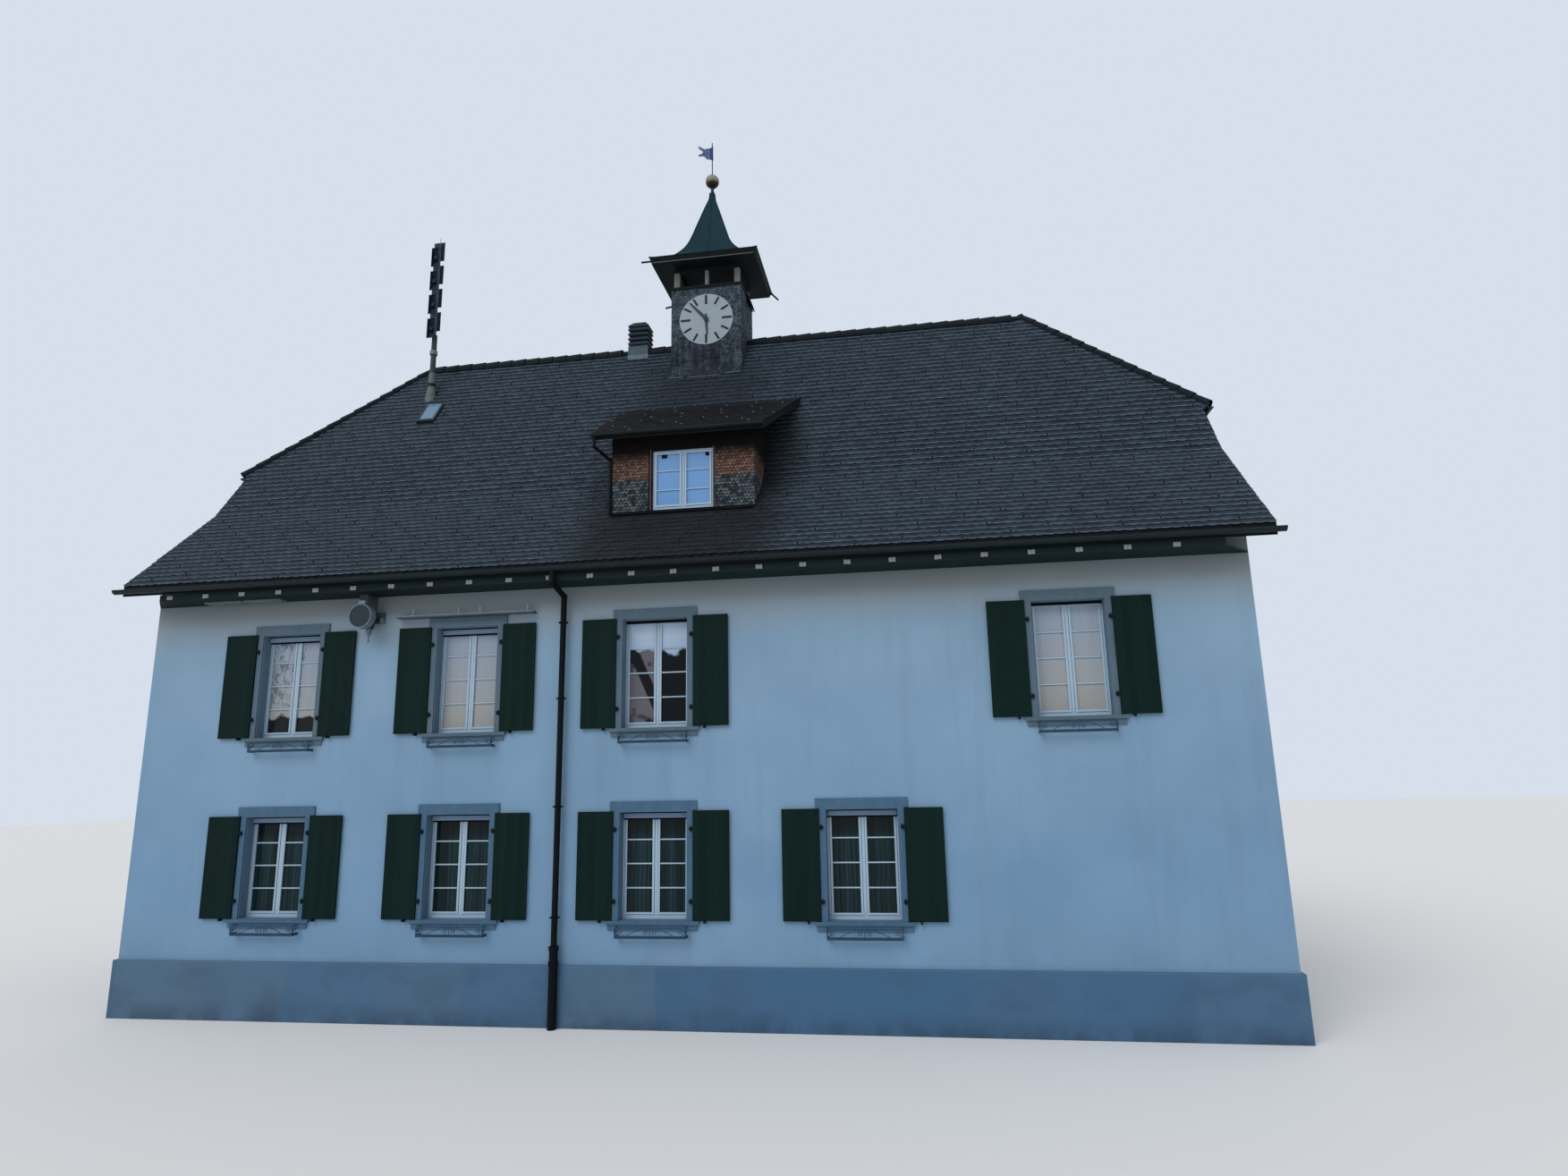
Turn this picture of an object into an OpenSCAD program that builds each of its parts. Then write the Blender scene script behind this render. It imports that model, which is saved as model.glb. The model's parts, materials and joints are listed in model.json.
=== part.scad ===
// A schoolhouse with a half-hipped roof and a clock turret in the middle of its ridge.
// Millimetres, +Z up. The front faces -Y. The origin is at the lowest ground level, in the middle of the plan.

/* [House] */
// Length of the walls along the street
house_len = 19200; // [18800:100:20200]
// Depth of the house over its front and back walls
house_dep = 8830; // [8600:10:9200]
// Thickness of the outer walls
wall_t = 450; // [350:10:520]
// Height of the plinth above the lowest ground
plinth_h = 940; // [850:10:1100]
// Distance that the plinth stands proud of the walls
plinth_proud = 55; // [20:5:90]
// Top of the ground floor
ground_floor_z = 800; // [650:10:840]
// Top of the upper floor
upper_floor_z = 3840; // [3700:10:4000]
// Top of the attic floor
attic_floor_z = 7050; // [6950:10:7080]
// Thickness of each floor
floor_t = 250; // [180:10:300]

/* [Windows] */
// Distance from one window to the next along the front
window_pitch = 3400; // [3250:10:3500]
// Clear width of a window opening
window_w = 1134; // [1000:2:1200]
// Sill level of the ground storey windows
ground_sill_z = 1620; // [1560:10:1700]
// Clear height of the ground storey windows
ground_window_h = 1690; // [1500:10:1720]
// Sill level of the upper storey windows
upper_sill_z = 4680; // [4600:10:4760]
// Clear height of the upper storey windows
upper_window_h = 1840; // [1700:10:1860]
// Distance of the gable windows from the middle of the gable
gable_window_y = 1900; // [1700:10:2100]
// Sill level of the small attic windows in the gables
attic_sill_z = 8250; // [8050:10:8400]
// Height of the small attic windows
attic_window_h = 1150; // [900:10:1250]
// Width of the small attic windows
attic_window_w = 800; // [700:10:1000]
// Depth of a window frame behind the wall face
frame_setback = 190; // [60:5:220]
// Thickness of a window frame
frame_t = 62; // [50:2:90]
// Width of a frame's head and side members
frame_side = 66; // [50:2:80]
// Width of the bottom member
frame_foot = 97; // [70:1:120]
// Width of the meeting stiles between the two casements
frame_middle = 120; // [80:2:140]
// Thickness of the panes
pane_t = 16; // [6:1:24]
// Width of the stone surround beside an opening
surround_w = 101; // [80:1:106]
// Distance that the surround stands proud of the wall
surround_proud = 30; // [15:1:45]
// Height of the lintel stone above the opening
lintel_h = 176; // [140:2:200]
// Half length that the lintel reaches past the opening
lintel_reach = 166; // [140:2:190]
// Height of the sill stone
sill_h = 60; // [50:2:120]
// Distance that the sill reaches past the opening
sill_reach = 208; // [120:2:230]
// Distance that the sill stands proud of the wall
sill_proud = 50; // [40:2:120]
// Height of the moulding under a sill
moulding_h = 86; // [40:2:100]

/* [Shutters] */
// Width of one shutter
shutter_w = 600; // [500:10:640]
// Thickness of a shutter board
shutter_t = 34; // [25:1:45]
// Distance from the opening's edge to the shutter
shutter_gap = 106; // [106:1:140]
// Thickness of the battens that hold a shutter off the wall
batten_t = 26; // [15:1:40]
// Distance that a shutter reaches above the opening
shutter_rise = 18; // [10:1:30]
// Distance that a shutter stops above the opening's foot
shutter_lift = 5; // [2:1:60]

/* [Flower rails] */
// Height of a flower rail
rail_h = 168; // [140:2:240]
// Distance of a flower rail from the wall
rail_out = 150; // [100:5:230]
// Half length of a flower rail
rail_half = 585; // [500:5:700]
// Gap from the sill's top to the rail's top
rail_drop = 86; // [70:2:110]

/* [Main roof] */
// Overhang of the main eaves beyond the walls
eaves_out = 596; // [500:2:650]
// Height of the top edge of the main eaves
eaves_z = 7455; // [7430:5:7550]
// Pitch of the lower roof slope, degrees
lower_pitch = 43.8; // [42:0.1:45]
// Pitch of the upper roof slope, degrees
upper_pitch = 55.03; // [54:0.01:56]
// Distance of the kink behind the face of the wall
kink_in = 1331; // [1200:1:1450]
// Thickness of the roof slopes, rafters and tiles together
roof_t = 140; // [110:2:160]
// Overhang of the verges beyond the gable walls
verge_out = 242; // [180:2:300]
// Length of a half-hip in plan, from the verge to the ridge end
hip_len = 2822; // [2600:2:3000]
// Pitch of the half-hips, degrees
hip_pitch = 47.6; // [46:0.1:49]
// Overhang of a half-hip's eave beyond the verge
hip_out = 118; // [80:2:160]
// Outer radius of the ridge tiles
ridge_r = 95; // [80:1:120]
// Outer radius of the hip tiles
hip_tile_r = 60; // [50:1:80]
// Thickness of the ridge tiles
ridge_t = 18; // [12:1:24]
// Depth of the barge boards below the roof
barge_h = 180; // [140:5:220]
// Thickness of the barge boards
barge_t = 35; // [25:1:50]

/* [Eaves] */
// Underside of the boxed eaves
soffit_z = 7140; // [7110:5:7200]
// Thickness of the eaves boards
board_t = 24; // [18:1:30]
// Distance from the eaves' top edge back to the fascia
fascia_back = 27; // [20:1:60]
// Spacing of the rafter ends
rafter_pitch = 720; // [650:10:800]
// Distance of the first rafter end from the left wall corner
rafter_first = 715; // [600:5:800]
// Width of a rafter end
rafter_w = 66; // [50:2:80]
// Height of a rafter end
rafter_h = 95; // [60:1:98]
// Outer radius of the main gutters
gutter_r = 75; // [60:1:90]
// Thickness of the gutter sheet
gutter_t = 5; // [3:0.5:8]
// Top of the main gutters
gutter_z = 7363; // [7340:1:7400]
// Distance that a main gutter reaches past the verge
gutter_past = 98; // [60:2:140]
// Outer radius of the hip and dormer gutters
small_gutter_r = 55; // [45:1:65]
// Downpipe, distance left of the middle
downpipe_x = 1595; // [1560:5:1600]
// Outer radius of the downpipes
downpipe_r = 50; // [40:1:60]
// Outer radius of the standpipe at the foot
standpipe_r = 70; // [62:1:80]
// Top of the standpipe
standpipe_z = 1242; // [1150:2:1350]
// Height where the downpipe reaches the wall
downpipe_turn_z = 6960; // [6900:5:7000]
// Drop of the downpipe below the soffit before it bends back
neck_drop = 40; // [35:1:60]

/* [Dormer] */
// Middle of the dormer along the front
dormer_x = 328; // [200:2:400]
// Width over the dormer's cheeks
dormer_w = 2660; // [2500:10:2800]
// Distance of the dormer's front from the middle of the house
dormer_y = 3872; // [3720:2:3950]
// Thickness of the dormer's walls
dormer_wall_t = 120; // [90:2:150]
// Height of the dormer eave's top edge
dormer_eave_z = 10050; // [9980:10:10120]
// Overhang of the dormer eave in front of its wall
dormer_eave_out = 293; // [250:1:450]
// Pitch of the dormer roof, degrees
dormer_pitch = 30; // [28:0.5:31]
// Depth of the dormer window behind the face of its wall
dormer_setback = 30; // [20:1:50]
// Thickness of the dormer roof
dormer_roof_t = 110; // [90:2:130]
// Middle of the dormer roof along the front
dormer_roof_x = 290; // [200:10:400]
// Width of the dormer roof at its eave
dormer_eave_w = 3200; // [3100:10:3400]
// Width of the dormer roof where it joins the main roof
dormer_top_w = 3900; // [3500:10:4000]
// Width of the dormer window
dormer_window_w = 1132; // [1050:2:1250]
// Height of the dormer window
dormer_window_h = 1138; // [950:2:1180]
// Height of the dormer window's foot
dormer_window_z = 8604; // [8580:2:8730]

/* [Chimney] */
// Middle of the chimney along the ridge
chimney_x = -1765; // [-1900:5:-1700]
// Middle of the chimney across the ridge
chimney_y = 35; // [0:5:60]
// Width of the chimney stack
chimney_w = 480; // [400:10:500]
// Depth of the chimney stack
chimney_d = 400; // [360:10:460]
// Top of the chimney stack
chimney_z = 13810; // [13790:5:13900]
// Height of the louvred cowl without its cap
cowl_h = 500; // [420:10:560]
// Height of the cowl's cap
cowl_cap_h = 135; // [100:5:180]
// Number of louvre blades round the cowl
cowl_blades = 4; // [3:1:5]

/* [Skylight and siren] */
// Middle of the skylight along the roof
skylight_x = -6310; // [-6500:10:-6100]
// Middle of the skylight from the middle of the house
skylight_y = 1165; // [1100:5:1300]
// Width of the skylight
skylight_w = 420; // [380:10:500]
// Length of the skylight up the slope
skylight_l = 660; // [600:10:760]
// Height of the skylight's frame above the tiles
skylight_h = 70; // [50:5:100]
// Siren mast, distance left of the middle
mast_x = -6550; // [-6650:10:-6450]
// Siren mast, distance in front of the ridge
mast_y = 725; // [650:5:800]
// Outer radius of the siren mast
mast_r = 60; // [50:1:70]
// Top of the siren mast
mast_z = 16760; // [16600:10:16900]
// Height of one siren horn's mouth
horn_h = 520; // [480:10:560]
// Width of one siren horn's mouth
horn_w = 210; // [180:5:260]
// Depth of a siren horn from the mast to its mouth
horn_d = 230; // [200:5:300]
// Thickness of a horn's shell
horn_t = 12; // [8:1:16]
// Spacing of the siren horns up the mast
horn_pitch = 610; // [580:10:660]
// Number of siren horns on each side of the mast
horn_count = 4; // [2:1:4]

/* [Turret] */
// Width of the turret walls
turret_w = 1616; // [1560:4:1680]
// Depth of the turret walls
turret_d = 1296; // [1264:4:1360]
// Thickness of the turret walls
turret_wall_t = 100; // [80:2:140]
// Top of the shingled turret walls
turret_z = 14850; // [14800:10:14950]
// Height of the skirt's upper edge
skirt_z = 13050; // [12950:10:13150]
// Distance that the skirt flares out at its foot, front and back
skirt_flare = 110; // [80:2:140]
// Distance that the skirt stands out at the turret's two sides
skirt_side = 12; // [6:1:60]
// Thickness of the belfry floor
belfry_floor_t = 50; // [40:2:80]
// Distance that the belfry floor stands proud of the turret
belfry_floor_out = 30; // [10:2:60]
// Height of the belfry posts
belfry_h = 400; // [320:5:440]
// Width of the corner posts
corner_post_w = 180; // [140:4:220]
// Width of the middle posts
middle_post_w = 100; // [80:4:140]
// Distance of the posts behind the turret face
post_inset = 40; // [20:2:80]
// Width of the turret eaves at their top edge
turret_eaves_w = 2512; // [2400:4:2600]
// Depth of the turret eaves at their top edge
turret_eaves_d = 2084; // [2000:4:2160]
// Height of the turret eaves from soffit to top edge
turret_eaves_h = 144; // [120:2:200]
// Height of the wall plate on top of the posts
wall_plate_h = 70; // [50:2:100]
// Distance that the turret fascia leans out
fascia_lean = 50; // [30:2:80]
// Thickness of the turret soffit
turret_soffit_t = 31; // [20:1:45]
// Height of the side hood's upper edge above the shingles
hood_rise = 240; // [180:5:300]
// Height of the side hood's lip below the shingle top
hood_drop = 150; // [100:5:200]
// Distance that the side hood's lip stands out from the belfry floor
hood_out = 102; // [80:2:180]
// Length of the side hood
hood_l = 500; // [400:10:900]
// Middle of the side hood behind the middle of the turret
hood_y = 150; // [0:5:200]
// Height of the vent pipe on the turret's left side, below the shingle top
vent_drop = 310; // [250:5:400]
// Distance of the vent pipe in front of the middle of the turret
vent_y = 500; // [400:5:560]
// Length that the vent pipe stands out
vent_l = 192; // [120:2:240]

/* [Spire] */
// Height of the spire above the turret eaves
spire_h = 2186; // [2100:2:2300]
// Thickness of the spire's shell
spire_t = 60; // [45:1:80]
// Radius of the ball
ball_r = 165; // [140:5:190]
// Height of the ball's middle above the spire
ball_rise = 327; // [300:1:360]
// Radius of the finial rod
rod_r = 12; // [10:0.5:16]
// Height of the rod's top above the ball's middle
rod_rise = 1066; // [1000:2:1150]
// Height of the banner
banner_h = 345; // [300:5:380]
// Length of the banner with its tails
banner_l = 350; // [300:5:400]
// Thickness of the banner sheet
banner_t = 6; // [4:0.5:10]
// Distance of the banner's foot above the ball's middle
banner_rise = 606; // [560:2:640]

/* [Clock] */
// Radius of the dial
dial_r = 620; // [580:5:640]
// Thickness of the dial
dial_t = 30; // [20:1:45]
// Height of the dial's middle
dial_z = 14045; // [14000:5:14080]
// Height of the raised hour bars
bar_t = 3; // [2:0.5:5]
// Width of the hour bars
bar_w = 45; // [35:1:60]
// Length of the hour bars
bar_l = 180; // [150:5:200]
// Distance of the hour bars from the dial's edge
bar_rim = 20; // [10:2:40]
// Radius of the hand spindle
spindle_r = 12; // [10:0.5:16]
// Length of the minute hand
minute_l = 560; // [500:5:580]
// Length of the hour hand
hour_l = 380; // [320:5:400]
// Width of the hands at their hubs
hand_w = 74; // [50:2:84]
// Radius of the hand hubs
hub_r = 56; // [50:1:64]
// Thickness of the hands
hand_t = 6; // [4:0.5:8]
// Running gap between the dial, the hands and the spindle's head
hand_gap = 6; // [5:0.5:9]
// Angle of the minute hand at rest, degrees clockwise from twelve
minute_angle = 318; // [0:1:359]
// Angle of the hour hand at rest, degrees clockwise from twelve
hour_angle = 176.5; // [0:0.5:359]

/* [Front wall fittings] */
// Drum on the wall, distance left of the middle
drum_x = -5210; // [-5260:5:-5180]
// Height of the drum's middle
drum_z = 6730; // [6700:5:6760]
// Radius of the drum
drum_r = 215; // [190:5:240]
// Distance of the drum's face from the wall
drum_out = 450; // [400:5:500]
// Depth of the drum
drum_depth = 150; // [120:5:200]
// Left end of the ledge above the second window
ledge_x0 = -4690; // [-4850:10:-4600]
// Length of the ledge
ledge_l = 2550; // [2400:10:2700]
// Height of the ledge
ledge_z = 6705; // [6700:5:6800]
// Thickness of the ledge
ledge_t = 35; // [25:1:60]
// Distance that the ledge stands out from the wall
ledge_out = 170; // [100:5:200]
// Left end of the nest boards
nest_x0 = -8410; // [-8500:10:-8300]
// Length of both nest boards together
nest_l = 1530; // [1400:10:1600]
// Width of a nest board
nest_w = 160; // [120:5:200]

/* [Back door] */
// Width of the back door opening
door_w = 1100; // [1000:10:1200]
// Height of the back door opening
door_h = 2250; // [2100:10:2350]
// Thickness of the door leaf
door_t = 60; // [45:1:80]
// Number of risers up to the back door
riser_count = 5; // [4:1:6]
// Going of each step
step_going = 300; // [260:10:320]
// Depth of the steps in front of the plinth
step_depth = 680; // [600:10:690]

/* [Hidden] */
$fn = 48;

// Main dimensions worked out from the sizes above
half_len = house_len / 2;
half_dep = house_dep / 2;
inner_len = half_len - wall_t;
inner_dep = half_dep - wall_t;
past = 50;
// Gap between a sloping seat and what lies on it
seat = 0.3;

// Main roof section: eave, kink and ridge of the upper surface, and the same three below
lower_rise = tan(lower_pitch);
upper_rise = tan(upper_pitch);
hip_rise = tan(hip_pitch);
eaves_y = half_dep + eaves_out;
kink_y = half_dep - kink_in;
kink_z = eaves_z + (eaves_y - kink_y) * lower_rise;
ridge_z = kink_z + kink_y * upper_rise;
lower_drop = roof_t / cos(lower_pitch);
upper_drop = roof_t / cos(upper_pitch);
hip_drop = roof_t / cos(hip_pitch);
under_kink_y = (ridge_z - upper_drop - eaves_z + lower_drop - eaves_y * lower_rise)
    / (upper_rise - lower_rise);
verge_x = half_len + verge_out;
ridge_half = verge_x - hip_len;
hip_eave_x = verge_x + hip_out;

function roof_top(y) = abs(y) > kink_y
    ? eaves_z + (eaves_y - abs(y)) * lower_rise
    : ridge_z - abs(y) * upper_rise;
function roof_under(y) = abs(y) > under_kink_y
    ? eaves_z - lower_drop + (eaves_y - abs(y)) * lower_rise
    : ridge_z - upper_drop - abs(y) * upper_rise;
function hip_top(x) = ridge_z - (abs(x) - ridge_half) * hip_rise;
function hip_under(x) = hip_top(x) - hip_drop;

// Window rows: each entry is the window's place along its wall
front_ground = [for (i = [-2:1]) i * window_pitch];
front_upper = [for (i = [-2, -1, 0, 2]) i * window_pitch];
back_ground = [for (i = [-2, -1, 1, 2]) i * window_pitch];
back_upper = [for (i = [-2:2]) i * window_pitch];
gable_row = [-gable_window_y, gable_window_y];

// An extrusion along X of an outline in Y and Z
module along_x(length) {
    rotate([90, 0, 90]) linear_extrude(length, center = true) children();
}

// An extrusion along Y of an outline in X and Z
module along_y(length) {
    rotate([90, 0, 0]) linear_extrude(length, center = true) children();
}

// The four walls in turn: a child drawn for the front wall, with its outer face at y = 0
module on_front() {
    translate([0, -half_dep, 0]) children();
}
module on_back() {
    rotate(180) translate([0, -half_dep, 0]) children();
}
module on_right() {
    rotate(90) translate([0, -half_len, 0]) children();
}
module on_left() {
    rotate(-90) translate([0, -half_len, 0]) children();
}

// One child for every window of a wall row
module row(places, z, height, width = window_w) {
    for (x = places) translate([x, 0, z]) {
        $w = width;
        $h = height;
        children();
    }
}
module front_windows() {
    on_front() {
        row(front_ground, ground_sill_z, ground_window_h) children();
        row(front_upper, upper_sill_z, upper_window_h) children();
    }
}
module back_windows() {
    on_back() {
        row(back_ground, ground_sill_z, ground_window_h) children();
        row(back_upper, upper_sill_z, upper_window_h) children();
    }
}
module gable_windows() {
    row(gable_row, ground_sill_z, ground_window_h) children();
    row(gable_row, upper_sill_z, upper_window_h) children();
}
module attic_windows() {
    row([0], attic_sill_z, attic_window_h, attic_window_w) children();
}
module all_large_windows() {
    front_windows() children();
    back_windows() children();
    on_left() gable_windows() children();
    on_right() gable_windows() children();
}
module all_windows() {
    all_large_windows() children();
    on_left() attic_windows() children();
    on_right() attic_windows() children();
}

// The hole for one window
module window_hole() {
    translate([-$w / 2, -past, 0]) cube([$w, wall_t + 2 * past, $h]);
}

// The house below the upper surface of the main roof, for cutting what stands on it
module below_roof() {
    along_x(2 * verge_x + 2 * past) polygon([
        [-eaves_y, eaves_z - lower_drop], [-eaves_y, eaves_z], [-kink_y, kink_z], [0, ridge_z],
        [kink_y, kink_z], [eaves_y, eaves_z], [eaves_y, eaves_z - lower_drop]]);
}

// Everything under the two half-hips, seen from the front
module inside_hips() {
    rise = 600;
    along_y(2 * eaves_y + 2 * past) polygon([
        [-verge_x, 0], [-verge_x, hip_top(verge_x)], [-ridge_half + rise / hip_rise, ridge_z + rise],
        [ridge_half - rise / hip_rise, ridge_z + rise], [verge_x, hip_top(verge_x)], [verge_x, 0]]);
}

module plinth() color([0.42, 0.48, 0.56]) {
    difference() {
        translate([-half_len - plinth_proud, -half_dep - plinth_proud, 0])
            cube([house_len + 2 * plinth_proud, house_dep + 2 * plinth_proud, plinth_h]);
        translate([-inner_len, -inner_dep, -past]) cube([2 * inner_len, 2 * inner_dep, plinth_h + 2 * past]);
        on_back() translate([-door_w / 2, -plinth_proud - past, ground_floor_z])
            cube([door_w, wall_t + plinth_proud + 2 * past, plinth_h]);
    }
}

// A long wall that rises to the underside of the roof
module long_wall() {
    along_x(house_len) polygon([
        [-half_dep, plinth_h], [-half_dep, roof_under(half_dep)],
        [-inner_dep, roof_under(inner_dep)], [-inner_dep, plinth_h]]);
}

module front_wall() color([0.72, 0.78, 0.86]) difference() {
    long_wall();
    front_windows() window_hole();
}

module back_wall() color([0.72, 0.78, 0.86]) difference() {
    rotate(180) long_wall();
    back_windows() window_hole();
    on_back() translate([-door_w / 2, -past, ground_floor_z]) cube([door_w, wall_t + 2 * past, door_h]);
}

// A gable wall between the long walls, cut off under the half-hip
module gable_wall() {
    difference() {
        intersection() {
            translate([half_len - wall_t / 2, 0, 0]) along_x(wall_t) polygon([
                [-inner_dep, plinth_h], [-inner_dep, roof_under(inner_dep)],
                [-under_kink_y, roof_under(under_kink_y)], [0, ridge_z - upper_drop],
                [under_kink_y, roof_under(under_kink_y)], [inner_dep, roof_under(inner_dep)],
                [inner_dep, plinth_h]]);
            translate([0, 0, -seat]) along_y(house_dep) polygon([
                [inner_len - past, 0], [inner_len - past, hip_under(inner_len - past)],
                [half_len + past, hip_under(half_len + past)], [half_len + past, 0]]);
        }
        on_right() gable_windows() window_hole();
        on_right() attic_windows() window_hole();
    }
}

module right_gable_wall() color([0.72, 0.78, 0.86]) gable_wall();

module left_gable_wall() color([0.72, 0.78, 0.86]) mirror([1, 0, 0]) gable_wall();

// Stone landing at the back door with a straight flight beside it
module door_steps() color([0.5, 0.52, 0.55]) {
    riser = ground_floor_z / riser_count;
    landing = door_w / 2 + 150;
    flight = (riser_count - 1) * step_going;
    on_back() translate([0, -plinth_proud - step_depth / 2, 0]) along_y(step_depth) polygon(concat(
        [[-landing, 0], [-landing, ground_floor_z], [landing, ground_floor_z]],
        [for (i = [0:riser_count - 2]) each [
            [landing + i * step_going, ground_floor_z - (i + 1) * riser],
            [landing + (i + 1) * step_going, ground_floor_z - (i + 1) * riser]]],
        [[landing + flight, 0]]));
}

// A floor between the inner faces of the walls
module floor_slab(top) {
    translate([-inner_len, -inner_dep, top - floor_t]) cube([2 * inner_len, 2 * inner_dep, floor_t]);
}

module ground_floor() color([0.55, 0.42, 0.3]) floor_slab(ground_floor_z);

module upper_floor() color([0.55, 0.42, 0.3]) floor_slab(upper_floor_z);

module attic_floor() color([0.55, 0.42, 0.3]) floor_slab(attic_floor_z);

// Stone architrave with lintel, sill and the moulding under the sill, on the face of the wall
module surround() {
    jamb = $w / 2 + surround_w;
    lintel = $w / 2 + lintel_reach;
    sill = $w / 2 + sill_reach;
    lintel_foot = $h + shutter_rise + 5;
    translate([0, -surround_proud / 2, 0]) along_y(surround_proud) polygon([
        [-jamb, 0], [-jamb, lintel_foot], [-lintel, lintel_foot], [-lintel, $h + lintel_h],
        [lintel, $h + lintel_h], [lintel, lintel_foot], [jamb, lintel_foot], [jamb, 0],
        [$w / 2, 0], [$w / 2, $h], [-$w / 2, $h], [-$w / 2, 0]]);
    translate([-sill, -sill_proud, -sill_h]) cube([2 * sill, sill_proud, sill_h]);
    translate([-sill + surround_proud, -sill_proud / 2, -sill_h - moulding_h])
        cube([2 * (sill - surround_proud), sill_proud / 2, moulding_h]);
}

module window_surrounds() color([0.5, 0.56, 0.64]) all_windows() surround();

// Openings for glass in a two-light window frame
module lights(depth) {
    light_w = ($w - 2 * frame_side - frame_middle) / 2;
    light_h = $h - frame_side - frame_foot;
    for (side = [-1, 1])
        translate([side * (light_w + frame_middle) / 2 - light_w / 2, 0, frame_foot])
            cube([light_w, depth, light_h]);
}

module window_frame() {
    translate([0, frame_setback, 0]) difference() {
        translate([-$w / 2, 0, 0]) cube([$w, frame_t, $h]);
        translate([0, -past, 0]) lights(frame_t + 2 * past);
    }
}

module window_frames() color([0.86, 0.88, 0.9]) all_windows() window_frame();

module window_glass() color([0.3, 0.36, 0.42])
    all_windows() translate([0, frame_setback + (frame_t - pane_t) / 2, 0]) lights(pane_t);

// One opened shutter: a board on two battens against the wall
module shutter(side) {
    inner = $w / 2 + shutter_gap;
    height = $h + shutter_rise - shutter_lift;
    foot = shutter_lift;
    batten_h = 90;
    batten_in = 160;
    translate([side * (inner + shutter_w / 2) - shutter_w / 2, 0, foot]) {
        translate([0, -batten_t - shutter_t, 0]) cube([shutter_w, shutter_t, height]);
        for (z = [batten_in, height - batten_in - batten_h])
            translate([batten_h, -batten_t, z]) cube([shutter_w - 2 * batten_h, batten_t, batten_h]);
    }
}

module shutters() color([0.05, 0.13, 0.11]) all_large_windows() {
    shutter(-1);
    shutter(1);
}

// Iron rail that keeps the window boxes: a deep bottom bar, a top bar, end returns and end uprights
module flower_rail() {
    bar = 14;
    foot_h = 44;
    top = -rail_drop - bar;
    foot = -rail_drop - rail_h;
    for (level = [[top, bar, sill_proud / 2], [foot, foot_h, 0]]) translate([0, 0, level[0]]) {
        translate([-rail_half, -rail_out, 0]) cube([2 * rail_half, bar, level[1]]);
        for (side = [-1, 1]) translate([side * (rail_half - bar / 2) - bar / 2, -rail_out + bar, 0])
            cube([bar, rail_out - bar - level[2], level[1]]);
    }
    for (side = [-1, 1]) translate([side * (rail_half - bar / 2) - bar / 2, -rail_out, foot + foot_h])
        cube([bar, bar, top - foot - foot_h]);
}

module flower_rails() color([0.1, 0.12, 0.13]) all_large_windows() flower_rail();

// Roller blind casing at the head of a window, in front of the frame
module blind_box() {
    depth = 70;
    height = 75;
    side = 20;
    drop = 25;
    translate([-$w / 2 + side, frame_setback - depth, $h - drop - height]) cube([$w - 2 * side, depth, height]);
}

module blind_boxes() color([0.75, 0.8, 0.86]) {
    on_front() {
        row([-2 * window_pitch, -window_pitch], upper_sill_z, upper_window_h) blind_box();
        row(front_ground, ground_sill_z, ground_window_h) blind_box();
    }
}

// Plank door in the back wall
module back_door() color([0.05, 0.13, 0.11])
    on_back() translate([-door_w / 2, frame_setback, ground_floor_z]) cube([door_w, door_t, door_h]);

// One main roof slope from eave to ridge, cut off by both half-hips
module roof_slope() {
    intersection() {
        along_x(2 * verge_x) polygon([
            [-eaves_y, eaves_z], [-kink_y, kink_z], [0, ridge_z], [0, ridge_z - upper_drop],
            [-under_kink_y, roof_under(under_kink_y)], [-eaves_y, eaves_z - lower_drop]]);
        inside_hips();
    }
}

// A child stood on the upper front slope, at a place given in plan
module on_upper_slope(x, y) {
    translate([x, -y, roof_top(y)]) rotate([upper_pitch, 0, 0]) children();
}

module front_roof() color([0.2, 0.2, 0.22]) difference() {
    roof_slope();
    on_upper_slope(skylight_x, skylight_y) translate([-skylight_w / 2 + past, -skylight_l / 2 + past, -2 * roof_t])
        cube([skylight_w - 2 * past, skylight_l - 2 * past, 4 * roof_t]);
    dormer_shaft();
}

// Opening through the main roof behind the dormer's front
module dormer_shaft() {
    shaft_w = 1880;
    shaft_l = 1100;
    translate([dormer_x - shaft_w / 2, -dormer_y + dormer_setback, eaves_z])
        cube([shaft_w, shaft_l, ridge_z - eaves_z]);
}

module back_roof() color([0.2, 0.2, 0.22]) rotate(180) roof_slope();

module half_hip() {
    back = 400;
    intersection() {
        along_y(2 * kink_y) polygon([
            [hip_eave_x, hip_top(hip_eave_x)], [ridge_half - back, hip_top(ridge_half - back)],
            [ridge_half - back, hip_under(ridge_half - back)], [hip_eave_x, hip_under(hip_eave_x)]]);
        along_x(2 * (hip_eave_x + past)) polygon([
            [-under_kink_y, roof_under(under_kink_y)], [0, ridge_z - upper_drop],
            [under_kink_y, roof_under(under_kink_y)]]);
    }
}

module half_hips() color([0.2, 0.2, 0.22]) {
    half_hip();
    mirror([1, 0, 0]) half_hip();
}

// A run of half-round ridge tiles along X, open below
module ridge_run(x0, x1) {
    sink = ridge_t;
    translate([x0, 0, ridge_z - ridge_r / 2]) rotate([90, 0, 90]) linear_extrude(x1 - x0) difference() {
        circle(r = ridge_r);
        circle(r = ridge_r - ridge_t);
        translate([-2 * ridge_r, -2 * ridge_r - sink]) square([4 * ridge_r, 2 * ridge_r]);
    }
}

// Tiles along one hip, from the ridge end to the foot of the half-hip
module hip_run() {
    drop = ridge_z - hip_top(verge_x);
    pipe([[ridge_half, 0, ridge_z], [verge_x, -drop / upper_rise, ridge_z - drop]], hip_tile_r);
}

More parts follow.
